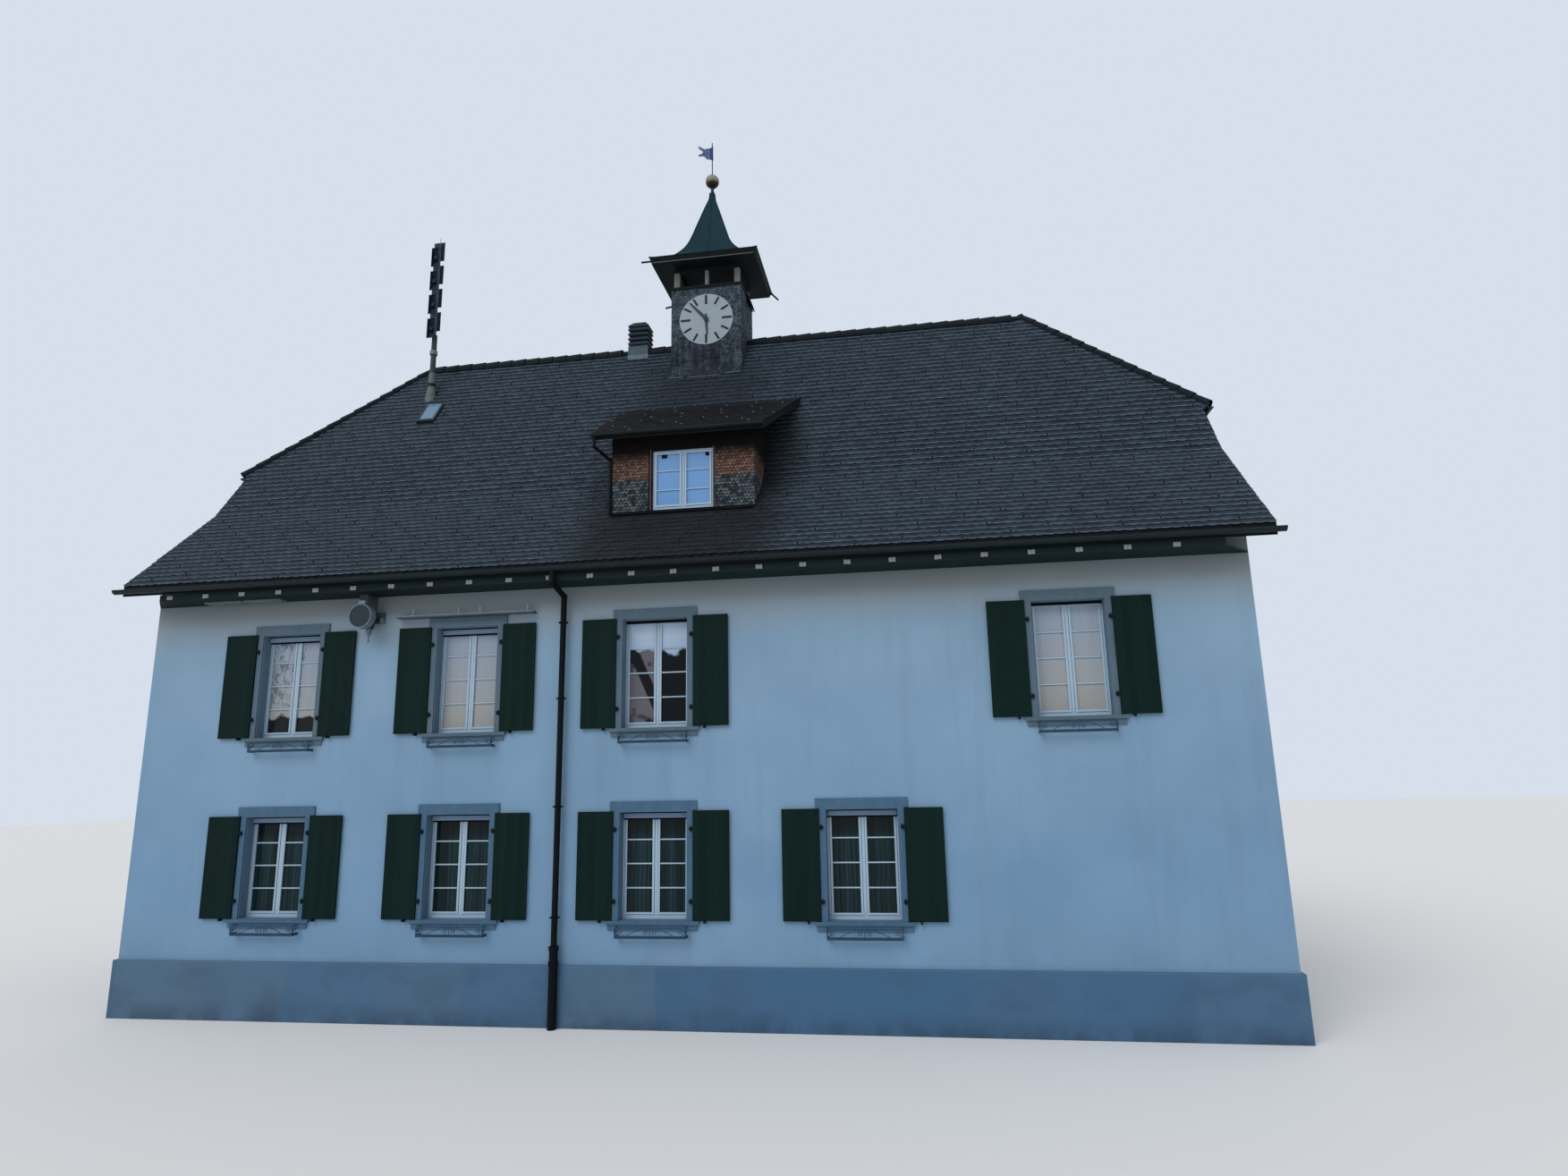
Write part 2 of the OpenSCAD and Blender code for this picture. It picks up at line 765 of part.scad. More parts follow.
module ridge_tiles() color([0.17, 0.17, 0.18]) difference() {
    union() {
        for (sx = [0, 1], sy = [0, 1]) mirror([sx, 0, 0]) mirror([0, sy, 0]) hip_run();
        ridge_run(-ridge_half, chimney_x - chimney_w / 2);
        ridge_run(chimney_x + chimney_w / 2, -turret_w / 2);
        ridge_run(turret_w / 2, ridge_half);
    }
    intersection() {
        below_roof();
        inside_hips();
    }
}

// Boxed eave: a soffit board and a fascia board, front and back
module boxed_eave() {
    fascia_y = eaves_y - fascia_back;
    box_top = eaves_z - lower_drop;
    along_x(2 * verge_x - 2 * barge_t) polygon([
        [-half_dep, soffit_z], [-fascia_y, soffit_z], [-fascia_y, box_top], [-fascia_y + board_t, box_top],
        [-fascia_y + board_t, soffit_z + board_t], [-half_dep, soffit_z + board_t]]);
}

module soffits() color([0.06, 0.12, 0.11]) {
    boxed_eave();
    rotate(180) boxed_eave();
}

// White-painted rafter ends on the fascia
module rafter_ends() color([0.85, 0.86, 0.85]) {
    fascia_y = eaves_y - fascia_back;
    count = floor((house_len - 2 * rafter_first) / rafter_pitch);
    block = 20;
    for (turn = [0, 180], i = [0:count])
        rotate(turn) translate([-half_len + rafter_first + i * rafter_pitch - rafter_w / 2, -fascia_y - block,
            eaves_z - lower_drop - rafter_h - 3]) cube([rafter_w, block, rafter_h]);
}

// Barge boards under the verges, from the eave to the foot of the half-hip
module barge_board() {
    difference() {
        translate([verge_x - barge_t / 2, 0, 0]) along_x(barge_t) polygon([
            [-eaves_y, roof_under(eaves_y)], [-under_kink_y, roof_under(under_kink_y)],
            [0, ridge_z - upper_drop], [under_kink_y, roof_under(under_kink_y)], [eaves_y, roof_under(eaves_y)],
            [eaves_y, roof_under(eaves_y) - barge_h], [under_kink_y, roof_under(under_kink_y) - barge_h],
            [0, ridge_z - upper_drop - barge_h], [-under_kink_y, roof_under(under_kink_y) - barge_h],
            [-eaves_y, roof_under(eaves_y) - barge_h]]);
        translate([0, -eaves_y, hip_under(verge_x)]) cube([2 * verge_x, 2 * eaves_y, ridge_z]);
    }
}

module barge_boards() color([0.06, 0.12, 0.11]) {
    barge_board();
    mirror([1, 0, 0]) barge_board();
}

// A half-round gutter along X with closed ends, its back against y = 0 and its rim at z = 0
module gutter(length, r) {
    translate([-length / 2, -r, 0]) rotate([90, 0, 90]) {
        linear_extrude(length) difference() {
            circle(r = r);
            circle(r = r - gutter_t);
            translate([-2 * r, 0]) square([4 * r, 2 * r]);
        }
        for (z = [0, length - gutter_t]) translate([0, 0, z]) linear_extrude(gutter_t) difference() {
            circle(r = r);
            translate([-2 * r, 0]) square([4 * r, 2 * r]);
        }
    }
}

module gutters() color([0.05, 0.08, 0.08]) {
    for (turn = [0, 180])
        rotate(turn) translate([0, -eaves_y, gutter_z]) gutter(2 * (verge_x + gutter_past), gutter_r);
    hip_gutter_l = 2 * (ridge_z - hip_top(hip_eave_x)) / upper_rise;
    for (turn = [90, -90])
        rotate(turn) translate([0, -hip_eave_x, hip_top(hip_eave_x) - small_gutter_r]) gutter(hip_gutter_l, small_gutter_r);
    translate([dormer_roof_x, -dormer_y - dormer_eave_out, dormer_eave_z - small_gutter_r / 2])
        gutter(dormer_eave_w, small_gutter_r);
}

// A round pipe through the given points, with a swelling at each elbow
module pipe(points, r) {
    swell = 4;
    for (i = [0:len(points) - 2]) {
        step = points[i + 1] - points[i];
        length = norm(step);
        translate(points[i]) rotate([0, acos(step[2] / length), atan2(step[1], step[0])])
            cylinder(r = r, h = length);
        if (i > 0) translate(points[i]) sphere(r = r + swell);
    }
}

module downpipe() {
    wall_gap = plinth_proud + standpipe_r;
    y = -half_dep - wall_gap;
    gutter_y = -eaves_y - gutter_r;
    neck_z = soffit_z - neck_drop;
    pipe([[0, gutter_y, gutter_z - gutter_r], [0, gutter_y, neck_z], [0, y, downpipe_turn_z],
        [0, y, standpipe_z]], downpipe_r);
    translate([0, y, 0]) cylinder(r = standpipe_r, h = standpipe_z);
    collar = 12;
    for (z = [standpipe_z - 60, plinth_h + collar]) translate([0, y, z]) cylinder(r = standpipe_r + collar, h = 60);
}

module downpipes() color([0.05, 0.08, 0.08]) {
    for (turn = [0, 180]) rotate(turn) translate([-downpipe_x, 0, 0]) downpipe();
    dormer_downpipe();
}

module dormer_downpipe() {
    r = 30;
    swan_out = 240;
    straight = 185;
    swan_drop = 360;
    front = -dormer_y - r;
    side = dormer_x - dormer_w / 2;
    eave = dormer_eave_z - 1.5 * small_gutter_r;
    difference() {
        pipe([[side - swan_out, -dormer_y - dormer_eave_out - small_gutter_r, eave],
            [side - swan_out, -dormer_y - dormer_eave_out - small_gutter_r, eave - straight],
            [side - r, front, eave - swan_drop], [side - r, front, roof_top(dormer_y) - past]], r);
        below_roof();
    }
}

// Upper surface of the dormer roof at a distance in front of the ridge
dormer_rise = tan(dormer_pitch);
dormer_drop = dormer_roof_t / cos(dormer_pitch);
dormer_eave_y = dormer_y + dormer_eave_out;
function dormer_top(y) = dormer_eave_z + (dormer_eave_y - y) * dormer_rise;
dormer_meet_y = (ridge_z - dormer_eave_z - dormer_eave_y * dormer_rise) / (upper_rise - dormer_rise);

// Everything below the dormer roof's underside
module below_dormer_roof() {
    along_x(2 * verge_x) polygon([
        [-dormer_eave_y, eaves_z], [-dormer_eave_y, dormer_top(dormer_eave_y) - dormer_drop],
        [0, dormer_top(0) - dormer_drop], [0, eaves_z]]);
}

module dormer_front() color([0.45, 0.4, 0.36]) difference() {
    intersection() {
        translate([dormer_x - dormer_w / 2, -dormer_y, eaves_z]) cube([dormer_w, dormer_wall_t, dormer_eave_z]);
        below_dormer_roof();
    }
    below_roof();
    translate([dormer_x - dormer_window_w / 2, -dormer_y - past, dormer_window_z])
        cube([dormer_window_w, dormer_wall_t + 2 * past, dormer_window_h]);
}

module dormer_cheeks() color([0.4, 0.36, 0.33]) difference() {
    intersection() {
        for (side = [-1, 1])
            translate([dormer_x + side * (dormer_w - dormer_wall_t) / 2 - dormer_wall_t / 2,
                -dormer_y + dormer_wall_t, eaves_z]) cube([dormer_wall_t, dormer_y, ridge_z]);
        below_dormer_roof();
    }
    below_roof();
}

// Splayed lean-to slab that meets the main roof
module dormer_roof() color([0.2, 0.19, 0.2]) difference() {
    intersection() {
        along_x(2 * verge_x) polygon([
            [-dormer_eave_y, dormer_top(dormer_eave_y)], [0, dormer_top(0)], [0, dormer_top(0) - dormer_drop],
            [-dormer_eave_y, dormer_top(dormer_eave_y) - dormer_drop]]);
        translate([dormer_roof_x, 0, eaves_z]) linear_extrude(ridge_z) polygon([
            [-dormer_eave_w / 2, -dormer_eave_y], [dormer_eave_w / 2, -dormer_eave_y],
            [dormer_top_w / 2, -dormer_meet_y], [dormer_top_w / 2, 0], [-dormer_top_w / 2, 0],
            [-dormer_top_w / 2, -dormer_meet_y]]);
    }
    below_roof();
}

module dormer_window() color([0.85, 0.87, 0.9]) {
    pane_back = (frame_t - pane_t) / 2;
    translate([dormer_x, -dormer_y + dormer_setback, dormer_window_z]) {
        $w = dormer_window_w;
        $h = dormer_window_h;
        difference() {
            translate([-$w / 2, 0, 0]) cube([$w, frame_t, $h]);
            translate([0, -past, 0]) lights(frame_t + 2 * past);
        }
        translate([0, pane_back, 0]) lights(pane_t);
    }
}

module chimney() color([0.6, 0.6, 0.6]) difference() {
    translate([chimney_x - chimney_w / 2, chimney_y - chimney_d / 2, ridge_z - chimney_w])
        cube([chimney_w, chimney_d, chimney_z - ridge_z + chimney_w]);
    below_roof();
}

// A solid that passes through rings of [half width, half depth, height]
module loft(rings) {
    last = len(rings) - 1;
    points = [for (r = rings) each [[-r[0], -r[1], r[2]], [r[0], -r[1], r[2]], [r[0], r[1], r[2]], [-r[0], r[1], r[2]]]];
    faces = concat(
        [[0, 1, 2, 3]],
        [for (k = [0:last - 1], i = [0:3]) [4 * k + i, 4 * k + 4 + i, 4 * k + 4 + (i + 1) % 4, 4 * k + (i + 1) % 4]],
        [[4 * last + 3, 4 * last + 2, 4 * last + 1, 4 * last]]);
    polyhedron(points, faces);
}

// Louvred cowl: a core with sloping blades round it and a pyramid cap
module chimney_cowl() color([0.3, 0.29, 0.28]) {
    hw = chimney_w / 2;
    hd = chimney_d / 2;
    core_in = 60;
    blade_out = 12;
    pitch = cowl_h / cowl_blades;
    blade_h = pitch * 0.55;
    translate([chimney_x, chimney_y, chimney_z]) {
        translate([-hw + core_in, -hd + core_in, 0]) cube([2 * (hw - core_in), 2 * (hd - core_in), cowl_h]);
        for (i = [0:cowl_blades - 1]) translate([0, 0, i * pitch + pitch * 0.3])
            loft([[hw + blade_out, hd + blade_out, 0], [hw - core_in + 1, hd - core_in + 1, blade_h]]);
        loft([[hw + blade_out, hd + blade_out, cowl_h], [hw - 80, hd - 80, cowl_h + cowl_cap_h]]);
    }
}

module skylight() color([0.2, 0.24, 0.28]) {
    rim = past;
    pane_z = skylight_h - rim / 2;
    on_upper_slope(skylight_x, skylight_y) {
        difference() {
            translate([-skylight_w / 2, -skylight_l / 2, 0]) cube([skylight_w, skylight_l, skylight_h]);
            translate([-skylight_w / 2 + rim, -skylight_l / 2 + rim, -past])
                cube([skylight_w - 2 * rim, skylight_l - 2 * rim, skylight_h + 2 * past]);
        }
        translate([-skylight_w / 2 + rim, -skylight_l / 2 + rim, pane_z])
            cube([skylight_w - 2 * rim, skylight_l - 2 * rim, pane_t]);
    }
}

// Tube mast in a base tube, with a flashing cone where it leaves the roof
module siren_mast() color([0.35, 0.36, 0.38]) difference() {
    base_r = mast_r + 16;
    base_h = 700;
    collar = 10;
    clamp_h = 70;
    foot = roof_top(mast_y + base_r);
    translate([mast_x, -mast_y, foot]) {
        cylinder(r = mast_r, h = mast_z - foot);
        cylinder(r = base_r, h = base_h);
        translate([0, 0, base_h - clamp_h]) cylinder(r = base_r + collar, h = clamp_h);
        cylinder(r1 = 2 * base_r, r2 = base_r + collar, h = base_h / 2);
        translate([0, 0, 2 * base_h]) cylinder(r = mast_r + 2 * collar, h = clamp_h);
    }
    below_roof();
}

// One horn along +Y: a flared shell with a round plug in its mouth
module horn() {
    throat = 100;
    neck = horn_d * 0.3;
    plug_r = horn_w * 0.3;
    rotate([-90, 0, 0]) {
        difference() {
            loft([[throat / 2, throat / 2, 0], [throat / 2, throat / 2, neck], [horn_w / 2, horn_h / 2, horn_d * 0.8],
                [horn_w / 2, horn_h / 2, horn_d]]);
            loft([[throat / 2 - horn_t, throat / 2 - horn_t, neck], [horn_w / 2 - horn_t, horn_h / 2 - horn_t, horn_d * 0.8],
                [horn_w / 2 - horn_t, horn_h / 2 - horn_t, horn_d + past]]);
        }
        translate([0, 0, neck - horn_t]) cylinder(r1 = throat / 2 - 2 * horn_t, r2 = plug_r, h = horn_d - neck - horn_t);
    }
}

// Two stacks of horns on the mast, back to back and staggered by half their spacing
module siren_horns() color([0.4, 0.4, 0.42])
    for (stack = [0, 1], i = [0:horn_count - 1])
        translate([mast_x, -mast_y, mast_z - horn_h / 2 - (i + stack / 2) * horn_pitch])
            rotate(stack * 180) translate([0, mast_r, 0]) horn();

module turret_walls() color([0.45, 0.45, 0.47]) difference() {
    foot = floor(roof_top(turret_d / 2)) - past;
    translate([-turret_w / 2, -turret_d / 2, foot]) cube([turret_w, turret_d, turret_z - foot]);
    translate([-turret_w / 2 + turret_wall_t, -turret_d / 2 + turret_wall_t, foot - past])
        cube([turret_w - 2 * turret_wall_t, turret_d - 2 * turret_wall_t, turret_z - foot + 2 * past]);
    below_roof();
}

// Flared shingle skirt round the foot of the turret
module turret_skirt() color([0.42, 0.42, 0.45]) difference() {
    hw = turret_w / 2;
    hd = turret_d / 2;
    foot = roof_top(hd + skirt_flare) - past;
    lip = 4;
    loft([[hw + skirt_side, hd + skirt_flare, foot], [hw + lip, hd + lip, skirt_z]]);
    translate([-hw, -hd, foot - past]) cube([2 * hw, 2 * hd, skirt_z - foot + 2 * past]);
    below_roof();
}

belfry_z = turret_z + belfry_floor_t;
turret_soffit_z = belfry_z + belfry_h + wall_plate_h;
spire_z = turret_soffit_z + turret_eaves_h;

module belfry_floor() color([0.12, 0.16, 0.16])
    translate([-turret_w / 2 - belfry_floor_out, -turret_d / 2 - belfry_floor_out, turret_z])
        cube([turret_w + 2 * belfry_floor_out, turret_d + 2 * belfry_floor_out, belfry_floor_t]);

module belfry_posts() color([0.6, 0.6, 0.58]) {
    hw = turret_w / 2 - post_inset;
    hd = turret_d / 2 - post_inset;
    for (sx = [-1, 1], sy = [-1, 1])
        translate([sx * (hw - corner_post_w / 2) - corner_post_w / 2, sy * (hd - corner_post_w / 2) - corner_post_w / 2,
            belfry_z]) cube([corner_post_w, corner_post_w, belfry_h]);
    for (sy = [-1, 1])
        translate([-middle_post_w / 2, sy * (hd - middle_post_w / 2) - middle_post_w / 2, belfry_z])
            cube([middle_post_w, middle_post_w, belfry_h]);
}

// Sloping hood over the sound opening on the turret's right side
module side_hood() color([0.12, 0.16, 0.18]) {
    t = 24;
    upper_in = 50;
    face = turret_w / 2 + belfry_floor_out;
    top = turret_z + hood_rise;
    lip = turret_z - hood_drop;
    translate([0, hood_y, 0]) along_y(hood_l) polygon([
        [face, turret_z], [face, belfry_z], [face - upper_in, top], [face - upper_in + t, top],
        [face + t, belfry_z], [face + hood_out, lip], [face + hood_out - t, lip]]);
}

// Outer form of the turret eaves
module turret_eaves_block() {
    hw = turret_eaves_w / 2;
    hd = turret_eaves_d / 2;
    loft([[hw - fascia_lean, hd - fascia_lean, turret_soffit_z],
        [hw - fascia_lean, hd - fascia_lean, turret_soffit_z + turret_soffit_t], [hw, hd, spire_z]]);
}

// Boxed turret eaves: a wall plate on the posts, a soffit plate and a fascia that leans out
module turret_eaves() color([0.06, 0.12, 0.12]) {
    hw = turret_eaves_w / 2;
    hd = turret_eaves_d / 2;
    lip = turret_soffit_z + turret_soffit_t;
    board = 40;
    plate_x = turret_w / 2 - post_inset;
    plate_y = turret_d / 2 - post_inset;
    difference() {
        turret_eaves_block();
        translate([-hw + fascia_lean + board, -hd + fascia_lean + board, lip])
            cube([2 * (hw - fascia_lean - board), 2 * (hd - fascia_lean - board), turret_eaves_h]);
    }
    translate([0, 0, belfry_z + belfry_h]) linear_extrude(wall_plate_h) difference() {
        square([2 * plate_x, 2 * plate_y], center = true);
        square([2 * (plate_x - middle_post_w), 2 * (plate_y - middle_post_w)], center = true);
    }
}

// Drain spouts of the hidden gutter behind the turret fascia, and the vent pipe on the left side
module spouts() color([0.1, 0.12, 0.16]) difference() {
    r = 22;
    straight_l = 240;
    bend_at = 60;
    bend_reach = 210;
    bend_drop = 170;
    vent_fall = 35;
    y = turret_eaves_d / 2 - fascia_lean - r;
    z = spire_z - turret_eaves_h / 2;
    face = turret_eaves_w / 2 - fascia_lean;
    side = turret_w / 2;
    vent_z = turret_z - vent_drop;
    union() {
        translate([-face - straight_l, -y, z]) rotate([0, 90, 0]) cylinder(r = r, h = straight_l);
        pipe([[face, y, z], [face + bend_at, y, z], [face + bend_reach, y, z - bend_drop]], r);
        pipe([[-side + r, -vent_y, vent_z], [-side - vent_l, -vent_y, vent_z - vent_fall]], r);
    }
    turret_eaves_block();
    translate([-side, -turret_d / 2, vent_z - turret_wall_t]) cube([turret_w, turret_d, 2 * turret_wall_t]);
}

// Height fractions and widths of the spire's concave outline, as shares of the eaves width
spire_outline = [[1, 0], [0.80, 0.045], [0.64, 0.1], [0.53, 0.17], [0.455, 0.26], [0.375, 0.33],
    [0.325, 0.38], [0.285, 0.44], [0.213, 0.59], [0.145, 0.745], [0.09, 0.85], [0.045, 0.92], [0.032, 1]];
spire_tip = spire_outline[len(spire_outline) - 1][0];

module spire() color([0.08, 0.2, 0.19]) {
    hw = turret_eaves_w / 2;
    hd = turret_eaves_d / 2;
    hollow_to = 9;
    difference() {
        loft([for (p = spire_outline) [hw * p[0], hd * p[0], spire_z + spire_h * p[1]]]);
        loft([for (i = [0:hollow_to]) let (p = spire_outline[i])
            [hw * p[0] - spire_t, hd * p[0] - spire_t, spire_z + spire_h * p[1] - (i == 0 ? past : 0)]]);
    }
}

finial_z = spire_z + spire_h;
ball_z = finial_z + ball_rise;

// Gilded ball on a neck, and the rod that carries the banner
module finial() color([0.75, 0.62, 0.3]) {
    neck = turret_eaves_w / 2 * spire_tip;
    collar = 8;
    running = 0.3;
    translate([0, 0, finial_z]) cylinder(r1 = neck, r2 = neck * 0.8, h = ball_rise - ball_r * 0.8);
    translate([0, 0, finial_z + ball_rise - ball_r * 1.15]) cylinder(r1 = neck * 0.8, r2 = ball_r * 0.62, h = ball_r * 0.36);
    translate([0, 0, ball_z]) sphere(r = ball_r);
    translate([0, 0, ball_z]) cylinder(r = rod_r, h = rod_rise);
    translate([0, 0, ball_z + banner_rise - running - collar]) cylinder(r = 2 * rod_r, h = collar);
}

// Swallow-tailed banner on a sleeve that turns about the rod
module weathervane() color([0.1, 0.14, 0.3]) translate([0, 0, ball_z + banner_rise]) {
    sleeve_r = 2 * rod_r;
    running = 2;
    root = sleeve_r * 0.8;
    difference() {
        union() {
            cylinder(r = sleeve_r, h = banner_h);
            along_y(banner_t) polygon([
                [-root, 0.02 * banner_h], [-root, banner_h * 0.95], [-0.55 * banner_l, banner_h * 0.92],
                [-banner_l, banner_h * 1.24], [-0.97 * banner_l, banner_h * 1.02], [-0.68 * banner_l, banner_h * 0.74],
                [-0.7 * banner_l, banner_h * 0.6], [-banner_l, banner_h * 0.52], [-banner_l, banner_h * 0.4],
                [-0.62 * banner_l, banner_h * 0.36], [-0.35 * banner_l, banner_h * 0.06]]);
        }
        translate([0, 0, -past]) cylinder(r = rod_r + running, h = banner_h + 2 * past);
    }
}

// Planes of the clock, measured outwards from the turret's front face
dial_face = -turret_d / 2 - dial_t;
hour_plane = dial_face - bar_t - hand_gap;
minute_plane = hour_plane - hand_t - hand_gap;
spindle_end = minute_plane - hand_t - hand_gap;

// A child turned clockwise from twelve on the dial
module at_hour_angle(angle) {
    translate([0, 0, dial_z]) rotate([0, angle, 0]) children();
}

// A disc on the dial's axis from one plane out to another
module disc(r, from, to) {
    translate([0, from, dial_z]) rotate([90, 0, 0]) cylinder(r = r, h = from - to);
}

module clock_dial() color([0.85, 0.87, 0.87]) {
    head_t = 8;
    disc(dial_r, -turret_d / 2, dial_face);
    disc(spindle_r, dial_face, spindle_end);
    disc(2 * spindle_r, spindle_end, spindle_end - head_t);
    for (i = [0:11]) at_hour_angle(30 * i)
        translate([-bar_w / 2, dial_face - bar_t, dial_r - bar_rim - bar_l]) cube([bar_w, bar_t, bar_l]);
}

// A tapered hand with a short tail, bored for the spindle
module hand(length, tail, plane) {
    running = 0.5;
    tip = 0.45;
    difference() {
        union() {
            translate([0, plane - hand_t / 2, 0]) along_y(hand_t) polygon([
                [-hand_w / 2, 0], [-hand_w * tip / 2, length], [hand_w * tip / 2, length], [hand_w / 2, 0],
                [hand_w * tip / 2, -tail], [-hand_w * tip / 2, -tail]]);
            translate([0, plane, 0]) rotate([90, 0, 0]) cylinder(r = hub_r, h = hand_t);
        }
        translate([0, plane + past, 0]) rotate([90, 0, 0]) cylinder(r = spindle_r + running, h = hand_t + 2 * past);
    }
}

module hour_hand() color([0.05, 0.05, 0.06]) at_hour_angle(hour_angle) hand(hour_l, 130, hour_plane);

module minute_hand() color([0.05, 0.05, 0.06]) at_hour_angle(minute_angle) hand(minute_l, 90, minute_plane);

// Round drum on a case under the soffit, with a pendant below it and a small two-part box beside it
module wall_drum() color([0.25, 0.27, 0.28]) on_front() {
    case_w = 160;
    case_shift = 35;
    case_drop = 70;
    rim = 18;
    recess = 12;
    back = drum_out - drum_depth;
    translate([drum_x - case_w + case_shift, -back, drum_z - case_drop])
        cube([case_w, back, soffit_z - drum_z + case_drop]);
    translate([drum_x, 0, drum_z]) {
        rotate([90, 0, 0]) difference() {
            translate([0, 0, back]) cylinder(r = drum_r, h = drum_depth);
            translate([0, 0, drum_out - recess]) cylinder(r = drum_r - rim, h = drum_depth);
        }
        drum_lug();
        translate([0, -back / 2, -case_drop]) drum_pendant();
    }
    translate([drum_x, 0, drum_z]) small_box();
}

// Lug on top of the drum
module drum_lug() {
    lug = 60;
    sink = 18;
    translate([-lug, -drum_out + lug / 2, drum_r - sink]) cube([2 * lug, lug, lug + sink]);
}

// Tapered pendant with a thin rod
module drum_pendant() {
    half_w = 60;
    straight = 60;
    pendant_h = 240;
    tip = 18;
    thin_r = 12;
    thin_l = 370;
    mirror([0, 0, 1]) {
        loft([[half_w, half_w, 0], [half_w, half_w, straight], [tip, tip, pendant_h]]);
        cylinder(r = thin_r, h = thin_l);
    }
}

module small_box() {
    shift = 50;
    upper = [160, 80, 110];
    lower = [170, 135, 80];
    translate([shift, -upper[1], 0]) cube(upper);
    translate([shift, -lower[1], -lower[2]]) cube(lower);
}

// Ledge above the second window with pins along it
module awning_ledge() color([0.4, 0.42, 0.45]) on_front() {
    pin_r = 10;
    pin_h = 130;
    translate([ledge_x0, -ledge_out, ledge_z]) cube([ledge_l, ledge_out, ledge_t]);
    for (share = [0.106, 0.443, 0.602, 0.947])
        translate([ledge_x0 + share * ledge_l, -ledge_out / 2, ledge_z + ledge_t]) cylinder(r = pin_r, h = pin_h);
}

// Two boards under the soffit for nests
module nest_boards() color([0.75, 0.76, 0.75]) on_front() {
    gap = 40;
    t = 30;
    board_l = (nest_l - gap) / 2;
    for (i = [0, 1]) translate([nest_x0 + i * (board_l + gap), -2 * nest_w, soffit_z - t])
        cube([board_l, nest_w, t]);
}

plinth();
front_wall();
back_wall();
left_gable_wall();
right_gable_wall();
door_steps();
ground_floor();
upper_floor();
attic_floor();
window_surrounds();
window_frames();
window_glass();
shutters();
flower_rails();
blind_boxes();
back_door();
front_roof();
back_roof();
half_hips();
ridge_tiles();
soffits();
rafter_ends();
barge_boards();
gutters();
downpipes();
dormer_front();
dormer_cheeks();
dormer_roof();
dormer_window();
chimney();
chimney_cowl();
skylight();
siren_mast();
siren_horns();
turret_walls();
turret_skirt();
belfry_floor();
belfry_posts();
side_hood();
turret_eaves();
spouts();
spire();
finial();
clock_dial();
minute_hand();
hour_hand();
weathervane();
wall_drum();
awning_ledge();
nest_boards();
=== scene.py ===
# %% Load the frame
import math

import bmesh
import bpy
from mathutils import Matrix, Vector
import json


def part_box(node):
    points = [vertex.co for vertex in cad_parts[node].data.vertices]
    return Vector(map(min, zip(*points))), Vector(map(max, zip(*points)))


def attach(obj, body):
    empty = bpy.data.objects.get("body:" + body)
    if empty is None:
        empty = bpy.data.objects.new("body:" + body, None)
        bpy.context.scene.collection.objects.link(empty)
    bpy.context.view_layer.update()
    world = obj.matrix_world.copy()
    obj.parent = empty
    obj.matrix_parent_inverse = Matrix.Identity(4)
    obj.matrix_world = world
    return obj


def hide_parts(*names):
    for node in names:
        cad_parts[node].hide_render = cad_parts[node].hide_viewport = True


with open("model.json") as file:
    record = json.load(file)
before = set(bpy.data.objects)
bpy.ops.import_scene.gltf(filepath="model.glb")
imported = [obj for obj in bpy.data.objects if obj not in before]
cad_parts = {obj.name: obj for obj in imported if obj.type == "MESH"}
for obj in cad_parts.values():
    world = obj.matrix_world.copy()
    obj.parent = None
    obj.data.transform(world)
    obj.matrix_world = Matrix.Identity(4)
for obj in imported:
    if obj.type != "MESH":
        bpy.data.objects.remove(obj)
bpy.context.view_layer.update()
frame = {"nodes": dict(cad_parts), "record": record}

# %% [markdown]
# The building stands with its front towards -Y and its lowest ground at z = 0. The solids give every wall, roof and
# window in its real place. What is added here is what repeats by the thousand, such as tiles, shingles and window
# bars, and the paint, grime and weather on every surface.

# %% [markdown]
# The photo was taken from the street in front, with a wide lens that looks up a little. A camera could be placed by
# eye, but here its place and turn come from the window rows and eaves in the photo, so its three axes (right, up and
# back) are written out.

# %% Camera
scene = bpy.context.scene


def plain_object(name, data):
    """A new object, unturned and at the origin."""
    made = bpy.data.objects.new(name, data)
    scene.collection.objects.link(made)
    return made


photo_wide, photo_focus = 1753, 1014  # in pixels
camera_data = bpy.data.cameras.new("street_view")
camera_data.sensor_fit = "HORIZONTAL"
camera_data.sensor_width = 36.0
camera_data.lens = 36.0 * photo_focus / photo_wide
camera_data.clip_end = 400
view_axes = Matrix(((0.98802653, 0.15309582, -0.0191115), (0.0492056, -0.19527957, 0.97951248),
                    (0.14622718, -0.96872471, -0.20047457)))
camera = plain_object("street_view", camera_data)
camera.matrix_world = Matrix.Translation((4.464, -19.186, 3.884)) @ view_axes.transposed().to_4x4()
scene.camera = camera
scene.view_settings.view_transform = "Standard"
print("lens", round(camera_data.lens, 2), "mm")

# %% [markdown]
# Finishes are sums of patterns. Wiring each sum by hand takes many lines, so a small class wraps one output of a node
# and lets Python's own signs add the maths nodes. A second class adds any other node in one call.


# %% Wire and Graph
def sum_of(kind, other_first=False):
    """A method that adds one maths node."""
    def add_node(self, other=0.0):
        first, second = (other, self) if other_first else (self, other)
        return self.graph.put("ShaderNodeMath", {"operation": kind}, {0: first, 1: second})
    return add_node


